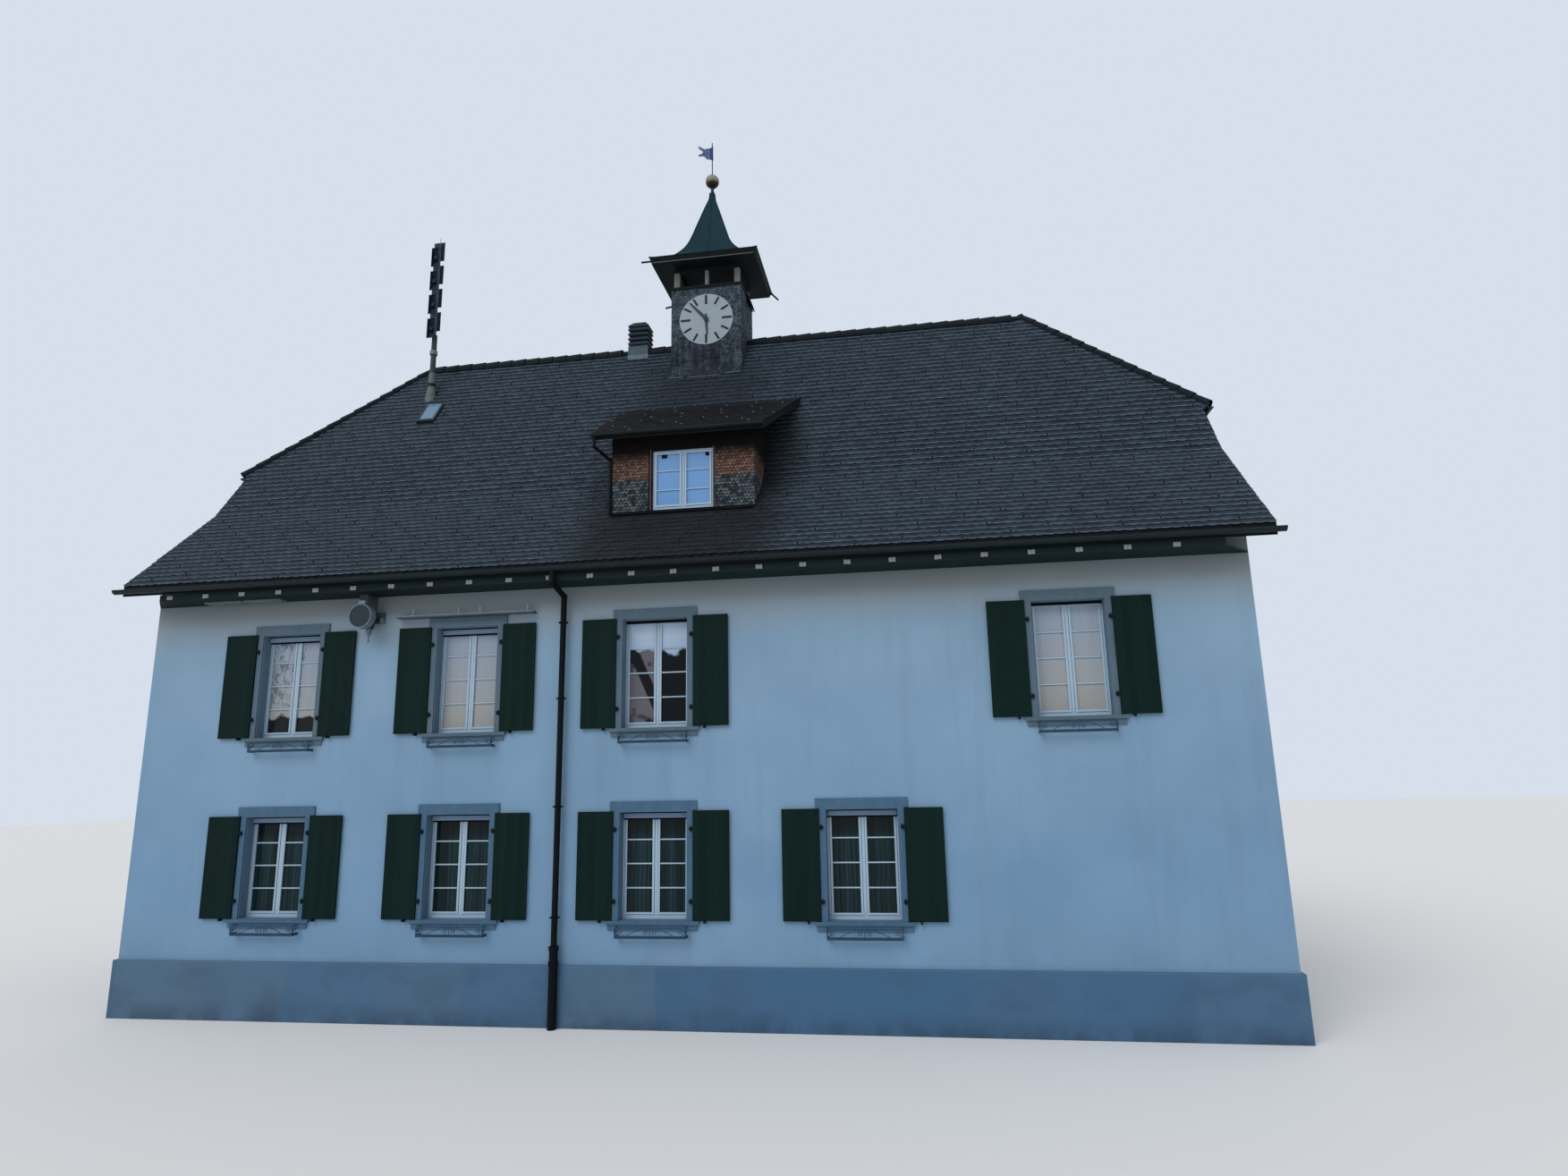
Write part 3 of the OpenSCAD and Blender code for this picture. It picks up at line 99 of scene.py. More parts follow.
class Wire:
    """One output of a node, which can be used in sums."""

    def __init__(self, graph, socket):
        self.graph = graph
        self.socket = socket

    __add__, __radd__ = sum_of("ADD"), sum_of("ADD", True)
    __sub__, __rsub__ = sum_of("SUBTRACT"), sum_of("SUBTRACT", True)
    __mul__, __rmul__ = sum_of("MULTIPLY"), sum_of("MULTIPLY", True)
    __truediv__, __rtruediv__ = sum_of("DIVIDE"), sum_of("DIVIDE", True)
    __gt__, __lt__ = sum_of("GREATER_THAN"), sum_of("LESS_THAN")
    size, whole, rest = sum_of("ABSOLUTE"), sum_of("FLOOR"), sum_of("FRACT")

    def within(self, low, high):
        """0 at low and below, 1 at high and above."""
        return self.graph.put("ShaderNodeMapRange", {}, {0: self, 1: low, 2: high, 3: 0.0, 4: 1.0})


class Graph:
    """A node tree, shader or geometry, with one call that adds a node."""

    def __init__(self, tree):
        self.tree = tree

    def feed(self, socket, value):
        if isinstance(value, Wire):
            self.tree.links.new(value.socket, socket)
        else:
            socket.default_value = value

    def put(self, kind, settings=None, sockets=None, out=0):
        node = self.tree.nodes.new(kind)
        for name, value in (settings or {}).items():
            setattr(node, name, value)
        for key, value in (sockets or {}).items():
            self.feed(node.inputs[key], value)
        return Wire(self, node.outputs[out])

    def vector(self, kind, first, second=(0, 0, 0), out=0):
        return self.put("ShaderNodeVectorMath", {"operation": kind}, {0: first, 1: second}, out)


# %% [markdown]
# Each finish starts from the point's own place on the building, in metres, so a pattern keeps its real size on every
# piece. A colour of three numbers is as it shows on a screen, 0 to 255, and becomes the linear values that Blender
# needs. Most finishes are a base colour with coats over it, each with the share that it covers.

# %% Finish helper
half_long, half_deep = 9.6, 4.415


def screen(red, green, blue):
    """A colour as it shows on a screen, as linear light."""
    shares = [c / 255 for c in (red, green, blue)]
    linear = [s / 12.92 if s <= 0.04045 else ((s + 0.055) / 1.055) ** 2.4 for s in shares]
    return (*linear, 1.0)


class Finish(Graph):
    """A material whose patterns follow the piece's own place in metres."""

    def __init__(self, name):
        self.material = bpy.data.materials.new(name)
        self.material.use_nodes = True
        super().__init__(self.material.node_tree)
        self.here = self.put("ShaderNodeTexCoord", out="Object")
        parts = self.put("ShaderNodeSeparateXYZ", {}, {0: self.here}).socket.node.outputs
        self.x, self.y, self.z = (Wire(self, part) for part in parts)

    def cloud(self, per_metre, detail=3.0, stretch=None, roughness=0.55):
        """Soft noise; per_metre is how many patches lie in a metre."""
        place = self.vector("MULTIPLY", self.here, stretch) if stretch else self.here
        return self.put("ShaderNodeTexNoise", {}, {"Vector": place, "Scale": per_metre, "Detail": detail,
                                                   "Roughness": roughness})

    def joined(self, x, y, z):
        return self.put("ShaderNodeCombineXYZ", {}, {0: x, 1: y, 2: z})

    def one_of_each(self, x, y=0.0):
        """A random number that stays the same inside each cell of whole numbers."""
        return self.put("ShaderNodeTexWhiteNoise", {}, {"Vector": self.joined(x.whole(), y, 0.0)})

    def mark(self, name):
        """A number that the laid piece carries: its random tone, or 1 on its lower edge."""
        return self.put("ShaderNodeAttribute", {"attribute_name": name}, out="Fac")

    def in_opening(self):
        """1 behind the outer faces of the walls."""
        return (self.y.size() < half_deep - 0.01) * (self.x.size() < half_long - 0.01)

    def blend(self, share, *colours):
        first, second = (screen(*c) if isinstance(c, tuple) and len(c) == 3 else c for c in colours)
        return self.put("ShaderNodeMix", {"data_type": "RGBA"}, {0: share, 6: first, 7: second}, out=2)

    def coats(self, paint, *layers):
        """Lays each (share, colour) over the last."""
        for share, colour in layers:
            paint = self.blend(share, paint, colour)
        return paint

    def done(self, colour, rough, shine=0.5, relief=None, metal=0.0):
        """Feeds the shader; relief is height in 0 to 1, depth in metres and strength."""
        fed = {"Base Color": colour, "Roughness": rough, "Specular IOR Level": shine, "Metallic": metal}
        if relief:
            names = ("Height", "Distance", "Strength")
            fed["Normal"] = self.put("ShaderNodeBump", {}, dict(zip(names, relief)))
        for name, value in fed.items():
            self.feed(self.tree.nodes["Principled BSDF"].inputs[name], value)
        return self.material


finishes = {}
print("helpers ready")

# %% [markdown]
# The walls are fine render under a pale blue paint. Paint alone would look like plastic, so there is a fine grain,
# broad cloudy patches where the paint has faded unevenly, faint runs of rain below the sills and a little splash
# dirt low down. The paint is bluer near the street and greyer higher up. Under the eaves the long walls carry painted
# shade: a greyer tint and a dark band under the soffit. The window reveals are painted darker as shade.

# %% Wall render
wall = Finish("wall_render")
patches = wall.cloud(0.55, 4).within(0.35, 0.65)
grain = wall.cloud(95, 3, None, 0.7)
low_blue = wall.blend(patches, (111, 146, 177), (121, 155, 186))
high_blue = wall.blend(patches, (127, 157, 182), (135, 165, 190))
low_dirt = (1 - wall.z.within(0.9, 1.9)) * wall.cloud(2.2, 5).within(0.35, 0.7)
long_sides = wall.y.size() > 4.3
# painted shade: the long walls turn greyer under the eaves
eave_shade_tint = (wall.z + wall.cloud(1.2, 3) * 0.3).within(6.3, 7.1) * long_sides
# painted shadow: a dark band just under the soffit
soffit_shadow = (wall.z + wall.cloud(0.9, 3) * 0.25).within(6.85, 7.25) * long_sides
pale_blue = wall.coats(
    wall.blend(wall.z.within(2.5, 6.4), low_blue, high_blue),
    (wall.cloud(1.0, 4, (3.5, 3.5, 0.28)).within(0.5, 0.78) * 0.2, (96, 118, 138)),
    (low_dirt * 0.3, (90, 112, 132)),
    (eave_shade_tint * 0.75, (150, 154, 152)),
    (soffit_shadow * 0.4, (84, 92, 94)),
    (grain.within(0.35, 0.75) * 0.12, (96, 122, 150)),
    # painted shade: the window reveals are darker
    (wall.in_opening() * 0.6, (66, 84, 100)))
finishes["plaster"] = wall.done(pale_blue, 0.86, 0.3, (grain, 0.0025, 0.5))

# %% [markdown]
# The plinth wears a darker blue-grey coat. It was painted in long patches at different times, so upright seams with
# slightly different tones cross it, and damp stains rise from the ground.

# %% Plinth render
plinth = Finish("plinth_render")
patch_tone = plinth.one_of_each((plinth.x + plinth.cloud(0.8, 1) * 0.4 + 40) * 0.62, (plinth.y * 0.4).whole())
stain = plinth.cloud(1.3, 6, (1, 1, 1.6)).within(0.48, 0.7)
damp = (1 - plinth.z.within(0.02, 0.34)) * plinth.cloud(3.0, 5, (1, 1, 0.6)).within(0.3, 0.6)
blue_grey = plinth.coats((62, 99, 134), (patch_tone, (82, 107, 130)), (stain * 0.45, (60, 84, 106)),
                         (damp * 0.6, (46, 64, 82)), (plinth.z.within(0.915, 0.935) * 0.35, (92, 120, 146)))
finishes["plinth_stone"] = plinth.done(blue_grey, 0.82, 0.25, (plinth.cloud(80, 3, None, 0.7), 0.003, 0.5))

# %% [markdown]
# The stone frames round the windows are painted blue-grey too. They catch more rain than the wall: the sills are
# darker and the edges show scuffs. The upper row is greyer than the lower one, like the wall behind it. Inside the
# openings the stone is painted darker as shade. The steps at the back are worn granite.

# %% Window stone and steps
stone = Finish("window_stone")
cloudy = stone.cloud(1.1, 3)
stone_low = stone.blend(cloudy, (64, 95, 121), (73, 104, 130))
stone_high = stone.blend(cloudy, (78, 98, 112), (88, 108, 121))
stone_blue = stone.coats(
    stone_low, (stone.z.within(3.6, 4.6), stone_high),
    (stone.cloud(6, 6).within(0.5, 0.72) * 0.3, (92, 116, 134)),
    (stone.cloud(1.0, 3, (9, 9, 0.8)).within(0.5, 0.8) * 0.3, (50, 70, 86)),
    # painted shade: the stone in the window reveals is darker
    (stone.in_opening() * 0.5, (50, 66, 80)))
finishes["surround_stone"] = stone.done(stone_blue, 0.75, 0.2, (stone.cloud(120, 2), 0.002, 0.4))

step = Finish("step_granite")
specks = step.cloud(160, 2).within(0.42, 0.6)
granite = step.coats((100, 106, 112), (specks, (136, 140, 142)),
                     (step.cloud(2, 4).within(0.45, 0.7) * 0.5, (80, 84, 88)))
finishes["step_stone"] = step.done(granite, 0.8, 0.5, (specks, 0.002, 0.4))

# %% [markdown]
# Painted wood shows faint joints where boards meet and long grain along them. One function makes every painted
# timber from its colour, the direction of its boards and their width, because only those differ. Dark paints keep
# a low specular level, or the pale studio would grey them.


# %% Painted boards
def painted_boards(name, colour, worn_colour, board_axis, board_width, gloss, joint=0.35, offset=0.0, wear=0.3,
                   shine=0.08):
    """Paint on boards of one width; board_axis is the axis that crosses the joints."""
    f = Finish(name)
    steps = (getattr(f, board_axis) + offset + 50) / board_width
    near_joint = 1 - (0.5 - (steps.rest() - 0.5).size()).within(0.0, 0.004 / board_width)
    fine = f.cloud(9, 3, (14, 14, 1.2) if board_axis in "xy" else (1.2, 14, 14))
    joint_dark = tuple(c * 0.35 for c in screen(*colour)[:3]) + (1.0,)
    paint = f.coats(colour, (f.one_of_each(steps) * 0.5 + fine * 0.3, worn_colour),
                    (f.cloud(4, 5).within(0.52, 0.74) * wear, worn_colour), (near_joint * joint, joint_dark))
    return f.done(paint, fine * 0.1 + gloss, shine, (fine * 0.3 - near_joint, 0.003, 0.6))


for slot, given in {
    "shutter_paint": ("shutter_green", (5, 27, 25), (12, 37, 33), "x", 0.11, 0.5, 0.15, 0.033),
    "eaves_paint": ("eaves_green", (20, 34, 36), (30, 44, 46), "x", 2.9, 0.55),
    "rafter_paint": ("rafter_white", (148, 158, 158), (118, 128, 128), "z", 0.3, 0.5, 0.35, 0.0, 0.3, 0.3),
    "window_paint": ("window_white", (168, 192, 210), (146, 170, 190), "z", 2.9, 0.32, 0.0, 0.0, 0.15, 0.4),
    "nest_wood": ("nest_board_pale", (116, 126, 130), (94, 102, 106), "x", 0.2, 0.6, 0.35, 0.0, 0.3, 0.3),
    "belfry_wood": ("belfry_post", (138, 142, 138), (92, 96, 90), "x", 0.03, 0.7),
    "turret_eaves": ("turret_eaves_black", (16, 24, 24), (24, 34, 36), "x", 0.14, 0.6, 0.25),
}.items():
    finishes[slot] = painted_boards(*given)
finishes["belfry_floor"] = finishes["turret_eaves"]
print(len(finishes), "finishes")

# %% [markdown]
# Indoors the floors are plain boards, seen through the panes only as a shade.

# %% Floor boards
boards = Finish("floor_boards")
board_at = (boards.y + 20) / 0.14
board_grain = boards.cloud(8, 4, (1, 14, 14))
board_tone = boards.one_of_each(board_at, (boards.x / 3.2).whole())
oak = boards.coats((128, 98, 66), (board_tone * 0.6 + board_grain * 0.4, (160, 126, 88)),
                   ((board_at.rest() < 0.03) * 0.8, (50, 36, 24)))
finishes["floorboards"] = boards.done(oak, 0.5, 0.5, (board_grain, 0.001, 0.4))

# %% [markdown]
# Painted and weathered metal is smooth, with runs of dirt and small dull patches. One function again, with a colour,
# a dirt colour and how shiny it is. The banner is blue with a few paler stripes.


# %% Sheet metal and iron
def weathered_metal(name, colour, dirt, gloss, metal=0.0, patch=5.0, amount=0.5, shine=0.1):
    f = Finish(name)
    spots = f.cloud(patch, 6).within(0.45, 0.7)
    drips = f.cloud(1.0, 3, (16, 16, 1.1)).within(0.48, 0.8)
    paint = f.coats(colour, (spots * amount, dirt), (drips * 0.4, dirt))
    return f.done(paint, spots * 0.2 + drips * 0.1 + gloss, shine, (f.cloud(60, 3), 0.002, 0.35), metal)


finishes["gutter_metal"] = weathered_metal("gutter_green", (20, 32, 34), (34, 42, 44), 0.42, shine=0.18)
for slot, given in {
    "downpipes": ("downpipe_black", (6, 10, 14), (18, 24, 26), 0.45),
    "wrought_iron": ("rail_iron", (44, 68, 90), (34, 52, 68), 0.5),
    "cowl_sheet": ("cowl_sheet", (40, 54, 62), (28, 38, 46), 0.5),
    "mast_steel": ("mast_steel", (40, 58, 74), (26, 38, 50), 0.45),
    "hand_black": ("hand_slate", (50, 64, 76), (40, 52, 62), 0.4),
}.items():
    finishes[slot] = weathered_metal(*given)
flashing_sheet = weathered_metal("flashing_sheet", (74, 90, 98), (46, 58, 66), 0.4, 0.2, 7, 0.6)
vane = Finish("vane_blue")
stripe = (vane.x / 0.075).rest().within(0.4, 0.55) * (vane.x < -0.06) * vane.cloud(9, 3).within(0.4, 0.5)
vane_paint = vane.coats((44, 58, 104), (vane.cloud(14, 5), (62, 76, 120)), (stripe * 0.6, (128, 144, 168)))
finishes["vane_metal"] = vane.done(vane_paint, 0.5, 0.1)

# %% [markdown]
# The finial has one node but three finishes in life: a collar of spire sheet, a gilded ball and a dark rod. Height
# tells them apart. The ball carries a painted reflection: near black at its foot, brown-gold below, a tan horizon
# band and pale sky on top.

# %% Finial
finial = Finish("finial_metals")
reflection_band_z = finial.z + finial.cloud(6, 3) * 0.02
gilt_and_painted_reflection = finial.coats(
    # painted reflection on the ball, in bands by height
    (14, 16, 16),
    (reflection_band_z.within(17.89, 17.95), (60, 50, 26)),
    (reflection_band_z.within(17.965, 17.985), (138, 126, 110)),
    (reflection_band_z.within(18.01, 18.04), (132, 144, 142)),
    (finial.cloud(7, 5).within(0.4, 0.7) * 0.2, (70, 70, 62)),
    (1 - finial.z.within(17.84, 17.86), (26, 54, 66)),
    (finial.z.within(18.195, 18.2), (44, 52, 62)))
finishes["finial"] = finial.done(gilt_and_painted_reflection, 0.5, 0.1, (finial.cloud(40, 3), 0.002, 0.3))

# %% [markdown]
# Blind cases and the long ledge are pale coated metal with fine grooves. The ledge is painted darker below as
# shade, with spots of grime, and its top edge carries a painted highlight.

# %% Coated metal
blind = Finish("blind_aluminium")
groove = ((blind.z / 0.025).rest() - 0.5).size().within(0.38, 0.5)
pale_metal = blind.coats((120, 144, 170), (groove * 0.4, (84, 104, 128)),
                         (blind.cloud(3, 4).within(0.45, 0.7) * 0.25, (98, 116, 138)))
finishes["blind_metal"] = blind.done(pale_metal, 0.45, 0.3, (1 - groove, 0.002, 0.5))

ledge = Finish("ledge_metal")
ledge_shade_and_highlight = ledge.coats(
    (72, 84, 92), (ledge.cloud(4, 4), (86, 98, 106)),
    # painted highlight along the top edge
    (ledge.z.within(6.728, 6.734), (140, 154, 164)),
    (ledge.z.within(6.742, 6.745), (170, 182, 190)),
    (ledge.cloud(9, 5).within(0.5, 0.7) * 0.3, (46, 58, 68)))
finishes["awning_ledge"] = ledge.done(ledge_shade_and_highlight, 0.5, 0.2, (ledge.cloud(50, 3), 0.001, 0.3))

# %% [markdown]
# The drum on the wall is a dark round face in a pale rim, with a pale lug above it, a small grey box beside it and a
# case behind, which is painted darker towards the eaves as shade. The distance from the drum's middle line and the
# place of each part pick the tone.

# %% Wall drum
drum = Finish("drum_metals")
drum_x, drum_z, drum_r = -5.21, 6.73, 0.215
case_front = -half_deep - 0.302
from_middle = drum.vector("LENGTH", drum.joined(drum.x - drum_x, 0.0, drum.z - drum_z), out=1)
# painted shade: the case darkens towards the eaves
case_eave_shade = drum.blend(drum.z.within(6.7, 7.1), (112, 132, 146), (64, 72, 76))
drum_paint = drum.coats(
    (32, 44, 52), (drum.cloud(6, 4), (44, 56, 64)),
    (from_middle.within(drum_r - 0.022, drum_r - 0.018), (104, 120, 132)),
    ((drum.z > 6.95) * 0.8, (128, 144, 156)),
    ((drum.x > -5.16) * (drum.z > 6.735) * (drum.y > -4.52), (70, 84, 94)),
    ((drum.y > case_front) * (drum.x < -5.17) * (drum.z > 6.64), case_eave_shade),
    (drum.cloud(14, 5).within(0.5, 0.7) * 0.25, (34, 42, 50)))
finishes["wall_drum"] = drum.done(drum_paint, 0.45, 0.2, (drum.cloud(50, 3), 0.001, 0.3))

# %% [markdown]
# The chimney is rendered in rough grey cement with soot below its cowl. The spire is dark green sheet that has gone
# uneven, a little paler and bluer where water runs. Its seams are raised strips that are added further down.

# %% Chimney render and spire sheet
shaft = Finish("chimney_render")
grey = shaft.coats((70, 86, 94), (shaft.cloud(3, 4), (84, 100, 108)),
                   (shaft.z.within(13.72, 13.82) * 0.5, (48, 58, 64)))
finishes["render_grey"] = shaft.done(grey, 0.9, 0.15, (shaft.cloud(28, 5), 0.006, 0.6))

green_sheet = Finish("spire_sheet")
green = green_sheet.coats((8, 36, 46), (green_sheet.cloud(3.5, 5, (1, 1, 0.6)), (16, 50, 60)),
                          (green_sheet.cloud(1.0, 4, (12, 12, 1.0)).within(0.45, 0.75) * 0.3, (24, 58, 68)))
finishes["spire_copper"] = green_sheet.done(green, 0.5, 0.06, (green_sheet.cloud(14, 3), 0.004, 0.4))

# %% [markdown]
# The clock face is white enamel that has greyed. Its twelve bars stand 3 mm proud, so the finish paints black
# whatever lies in front of the face's own plane.

# %% Clock face
face = Finish("clock_face")
face_front = -0.678
black_part = face.y < face_front - 0.0012
enamel = face.coats((142, 156, 166), (face.cloud(4, 6).within(0.45, 0.75) * 0.4, (126, 140, 150)),
                    (black_part, (34, 44, 52)))
finishes["dial_enamel"] = face.done(enamel, 0.4 + black_part * 0.1, 0.2, (face.cloud(3, 2), 0.003, 0.3))

# %% [markdown]
# Roof tiles differ one from the next. Each laid tile carries a random number called tone, which picks its colour,
# and a mark called edge that is 1 along its lower edge, which gets a painted highlight; the top of each tile, under
# the next course, is painted dark as shade. Lichen and soot lie over them in clouds. Below the dormer and the
# turret, where dirty water runs down, the roof is nearly black.


# %% Roof tiles
def tile_finish(name, dark, middle, pale, moss, moss_share, edge_highlight):
    f = Finish(name)
    own, edge, speckle = f.mark("tone"), f.mark("edge"), f.cloud(70, 4, None, 0.7)
    shade = own * 0.7 + speckle * 0.4 - 0.05
    wander = f.cloud(1.5, 4) * 0.9 - 0.45
    front = wander - f.y
    below_dormer = (1 - (f.x - 0.33 + wander).size().within(1.35, 2.2)) * front.within(1.7, 2.3)
    below_turret = (1 - (f.x + wander).size().within(0.9, 1.6)) * front.within(0.4, 0.7) * (1 - front.within(1.6, 2.2))
    lip_highlight_patches = f.cloud(5, 4).within(0.3, 0.6) * 0.5 + 0.5
    colour = f.coats(
        dark, (shade.within(0.0, 0.5), middle), (shade.within(0.5, 1.0), pale),
        (f.cloud(0.45, 4).within(0.42, 0.62) * 0.4, dark),
        (f.cloud(9, 6).within(0.54, 0.68) * own.within(0.2, 0.6) * moss_share, moss),
        # painted shade under the next course
        ((1 - edge.within(0.3, 0.6)) * 0.85, (12, 18, 24)),
        # painted highlight along the lower edge
        (edge.within(0.86, 0.98) * lip_highlight_patches * 0.85, edge_highlight),
        (below_dormer * 0.8, (27, 26, 28)),
        (below_turret * 0.6, (28, 32, 40)))
    return f.done(colour, own * 0.12 + 0.6, 0.12, (speckle, 0.004, 0.5))


finishes["roof_tile"] = tile_finish("roof_tiles", (22, 33, 43), (35, 47, 58), (52, 66, 78), (62, 76, 82), 0.4,
                                    (104, 120, 134))
brown_tiles = tile_finish("dormer_tiles", (20, 23, 26), (28, 31, 35), (38, 41, 46), (50, 54, 56), 0.3, (56, 60, 66))

# %% [markdown]
# Wooden shingles turn from brown to grey with age. On the dormer the upper part, under the roof, has stayed brown,
# and its top is painted nearly black as the deep shade under the eaves; on the turret rain has run down in dark
# streaks below the clock. On both the top of each shingle, under the next row, is painted dark as shade.


# %% Shingle finishes
def shingle_finish(name, dark, pale, brown, brown_here, tip, tip_share, speck, stains_and_shade):
    f = Finish(name)
    own, edge, fibre = f.mark("tone"), f.mark("edge"), f.cloud(30, 4, (6, 6, 0.6))
    colour = f.coats(
        dark, (own * 0.8 + fibre * 0.25, pale),
        (brown_here(f) * (own * 0.4 + 0.6), brown),
        (f.cloud(6, 5).within(0.5, 0.72) * 0.35, dark),
        # painted shade under the next row
        ((1 - edge.within(0.46, 0.72)) * 0.7, (14, 16, 20)),
        (edge.within(0.84, 0.96) * own.within(0.25, 0.8) * tip_share, tip),
        (f.cloud(34, 3, None, 0.6).within(0.6, 0.68) * speck, (128, 130, 140)),
        *stains_and_shade(f))
    return f.done(colour, 0.85, 0.12, (fibre, 0.003, 0.6))


def dormer_stains_and_shade(f):
    return ((f.cloud(16, 4, (1, 1, 1.6)).within(0.5, 0.6) * f.z.within(9.24, 9.3) * 0.6, (44, 28, 22)),
            # painted shade: near black under the dormer's eaves
            ((f.z + f.cloud(4, 3) * 0.1).within(9.52, 9.8) * 0.97, (12, 12, 11)))


def turret_weather(f):
    return (
        (f.cloud(3.2, 4).within(0.46, 0.62) * 0.25, (92, 106, 118)),
        (f.cloud(1.0, 3, (8, 8, 0.6)).within(0.42, 0.6) * (1 - f.z.within(13.2, 13.9)) * 0.75, (18, 24, 32)),
        ((1 - f.x.size().within(0.25, 0.6)) * (1 - f.z.within(13.3, 13.5)) * 0.45, (20, 26, 32)),
        ((1 - f.z.within(12.75, 13.1)) * 0.5, (44, 46, 52)))


finishes["dormer_shingle"] = shingle_finish(
    "dormer_shingles", (20, 28, 34), (76, 88, 96), (112, 78, 60),
    lambda f: (f.z + f.cloud(5, 4) * 0.14).within(9.24, 9.3), (150, 154, 158), 0.6, 0.0, dormer_stains_and_shade)
finishes["turret_shingle"] = shingle_finish(
    "turret_shingles", (26, 40, 50), (84, 98, 110), (70, 66, 66),
    lambda f: f.cloud(1.6, 4).within(0.5, 0.7) * 0.6, (120, 128, 138), 0.4, 0.5, turret_weather)

# %% [markdown]
# A window pane by day shows what it mirrors and, where nothing bright is mirrored, the dark room or a curtain behind.
# Real mirror images would need a street to mirror, so the panes are painted: folds of curtain in painted light and
# shade, with painted shade between the pleats, run down all of them, the upper row has a painted reflection of pale
# sky that ends lower down over painted reflections of dark shapes and twigs, and the lower row stays dark and green.
# A glossy shader over the paint still catches true reflections at a flat angle.

# %% Window glass
pane = Finish("window_pane")
folds = pane.cloud(1.0, 2, (13, 13, 0.25)).within(0.4, 0.62)
haze = pane.cloud(1.3, 3)
# painted shade between the curtain's pleats
pleat_shade_lines = ((pane.x + pane.cloud(2, 2) * 0.08 + 40) / 0.072).rest().within(0.72, 0.8)
room = pane.coats(
    (6, 26, 30), (folds * 0.7 + haze * 0.3, (32, 56, 60)),
    (pleat_shade_lines * (1 - pane.z.within(2.5, 2.9)) * 0.75, (6, 20, 22)),
    (pane.z.within(2.84, 3.0) * 0.75, (10, 20, 22)))
# painted reflections on the upper panes: sky above a skyline, dark shapes below it and twigs
front_left = pane.x < -5.0
skyline = pane.z + pane.cloud(2.6, 4) * 0.5
middle_sky = pane.blend(pane.z.within(5.9, 6.4), (160, 180, 206), (182, 200, 222))
slant = pane.x + pane.z * 0.45
dark_slant = slant.within(2.15, 2.17) * (1 - slant.within(2.34, 2.36)) * (pane.x < 0)
middle_painted_reflection = pane.coats((12, 16, 18), (pane.cloud(1.7, 3).within(0.46, 0.52) * (pane.x < 0), (100, 96, 104)),
                         (dark_slant, (16, 20, 22)), (skyline.within(6.2, 6.24), middle_sky))
twig_reflection = pane.cloud(7, 7, (1.6, 1, 1), 0.75).within(0.5, 0.56) * (pane.x + haze * 0.3).within(-6.45, -6.6)
upper_painted_reflection = pane.coats(
    (156, 156, 152), (pane.z.within(4.8, 6.4), (152, 166, 184)),
    (folds * 0.1, (124, 136, 144)),
    (twig_reflection * front_left * 0.6, (52, 66, 72)),
    (front_left * (1 - skyline.within(5.3, 5.34)) * 0.97, (10, 18, 20)),
    ((pane.x.size() < 1.5) * (pane.z < 7), middle_painted_reflection))
glass_paint = pane.blend(pane.z.within(4.2, 4.4), room, upper_painted_reflection)
finishes["glass"] = pane.done(glass_paint, 0.05, 0.14, (pane.cloud(1.2, 1), 0.004, 0.25))

# %% [markdown]
# The dormer window's frame and pane are one node. The pane lies deepest in the wall, so the distance from the front
# tells glass from paint. The skylight works the same way, along the slope it lies in. Both panes carry a painted
# reflection of the sky.

# %% Dormer window and skylight
dormer_pane = Finish("dormer_window_finish")
is_pane = dormer_pane.y > -3.8195
# painted sky reflection on the dormer's pane, paler upwards
dormer_sky_reflection = dormer_pane.coats((104, 150, 204), (dormer_pane.z.within(8.7, 9.7), (122, 165, 216)),
                             (dormer_pane.cloud(1.4, 3).within(0.45, 0.7) * 0.3, (136, 166, 200)))
dormer_both = dormer_pane.coats((148, 172, 192), (dormer_pane.cloud(5, 4), (160, 184, 204)), (is_pane, dormer_sky_reflection))
finishes["dormer_window"] = dormer_pane.done(dormer_both, 0.4 - is_pane * 0.34, 0.2,
                                             (dormer_pane.cloud(40, 2), 0.001, 0.3))

roof_light = Finish("skylight_finish")
steep_rise = 1.42985
light_x, light_y, light_glass_half, light_half_long = -6.31, -1.165, 0.16, 0.33
along_slope = (roof_light.y - light_y) * math.hypot(1, steep_rise)
in_rim = ((roof_light.x - light_x).size() < light_glass_half) * (along_slope.size() < light_half_long)
# painted sky reflection on the skylight's pane
light_glass = roof_light.blend(roof_light.cloud(2, 3), (90, 120, 146), (112, 140, 164))
light_paint = roof_light.coats((26, 38, 48), (roof_light.cloud(7, 4), (40, 52, 62)), (in_rim, light_glass))
finishes["skylight"] = roof_light.done(light_paint, 0.45 - in_rim * 0.35, 0.2, (roof_light.cloud(40, 2), 0.001, 0.3))

# %% [markdown]
# Every solid now gets the finish made for it by name, or else the one for its material slot in the record.

# %% Dress the solids
for part in frame["record"]["subparts"]:
    dressed = frame["nodes"][part["node"]].data.materials
    dressed.clear()
    dressed.append(finishes.get(part["node"]) or finishes[part["material_slot"]])
print(len(frame["nodes"]), "solids dressed")

# %% [markdown]
# Tiles, shingles, bars and irons are laid in great numbers. One Geometry Nodes tree serves them all: it puts a copy
# of a unit piece on every point of a cloud of seats. Each seat brings its own turn and size, and the tree adds a
# little random tilt, as hand-laid tiles have, and the random tone that the finishes read. A second tree makes curled
# ironwork, seams and other thin round bars: it turns a mesh of edges into curves and sweeps a small circle along.


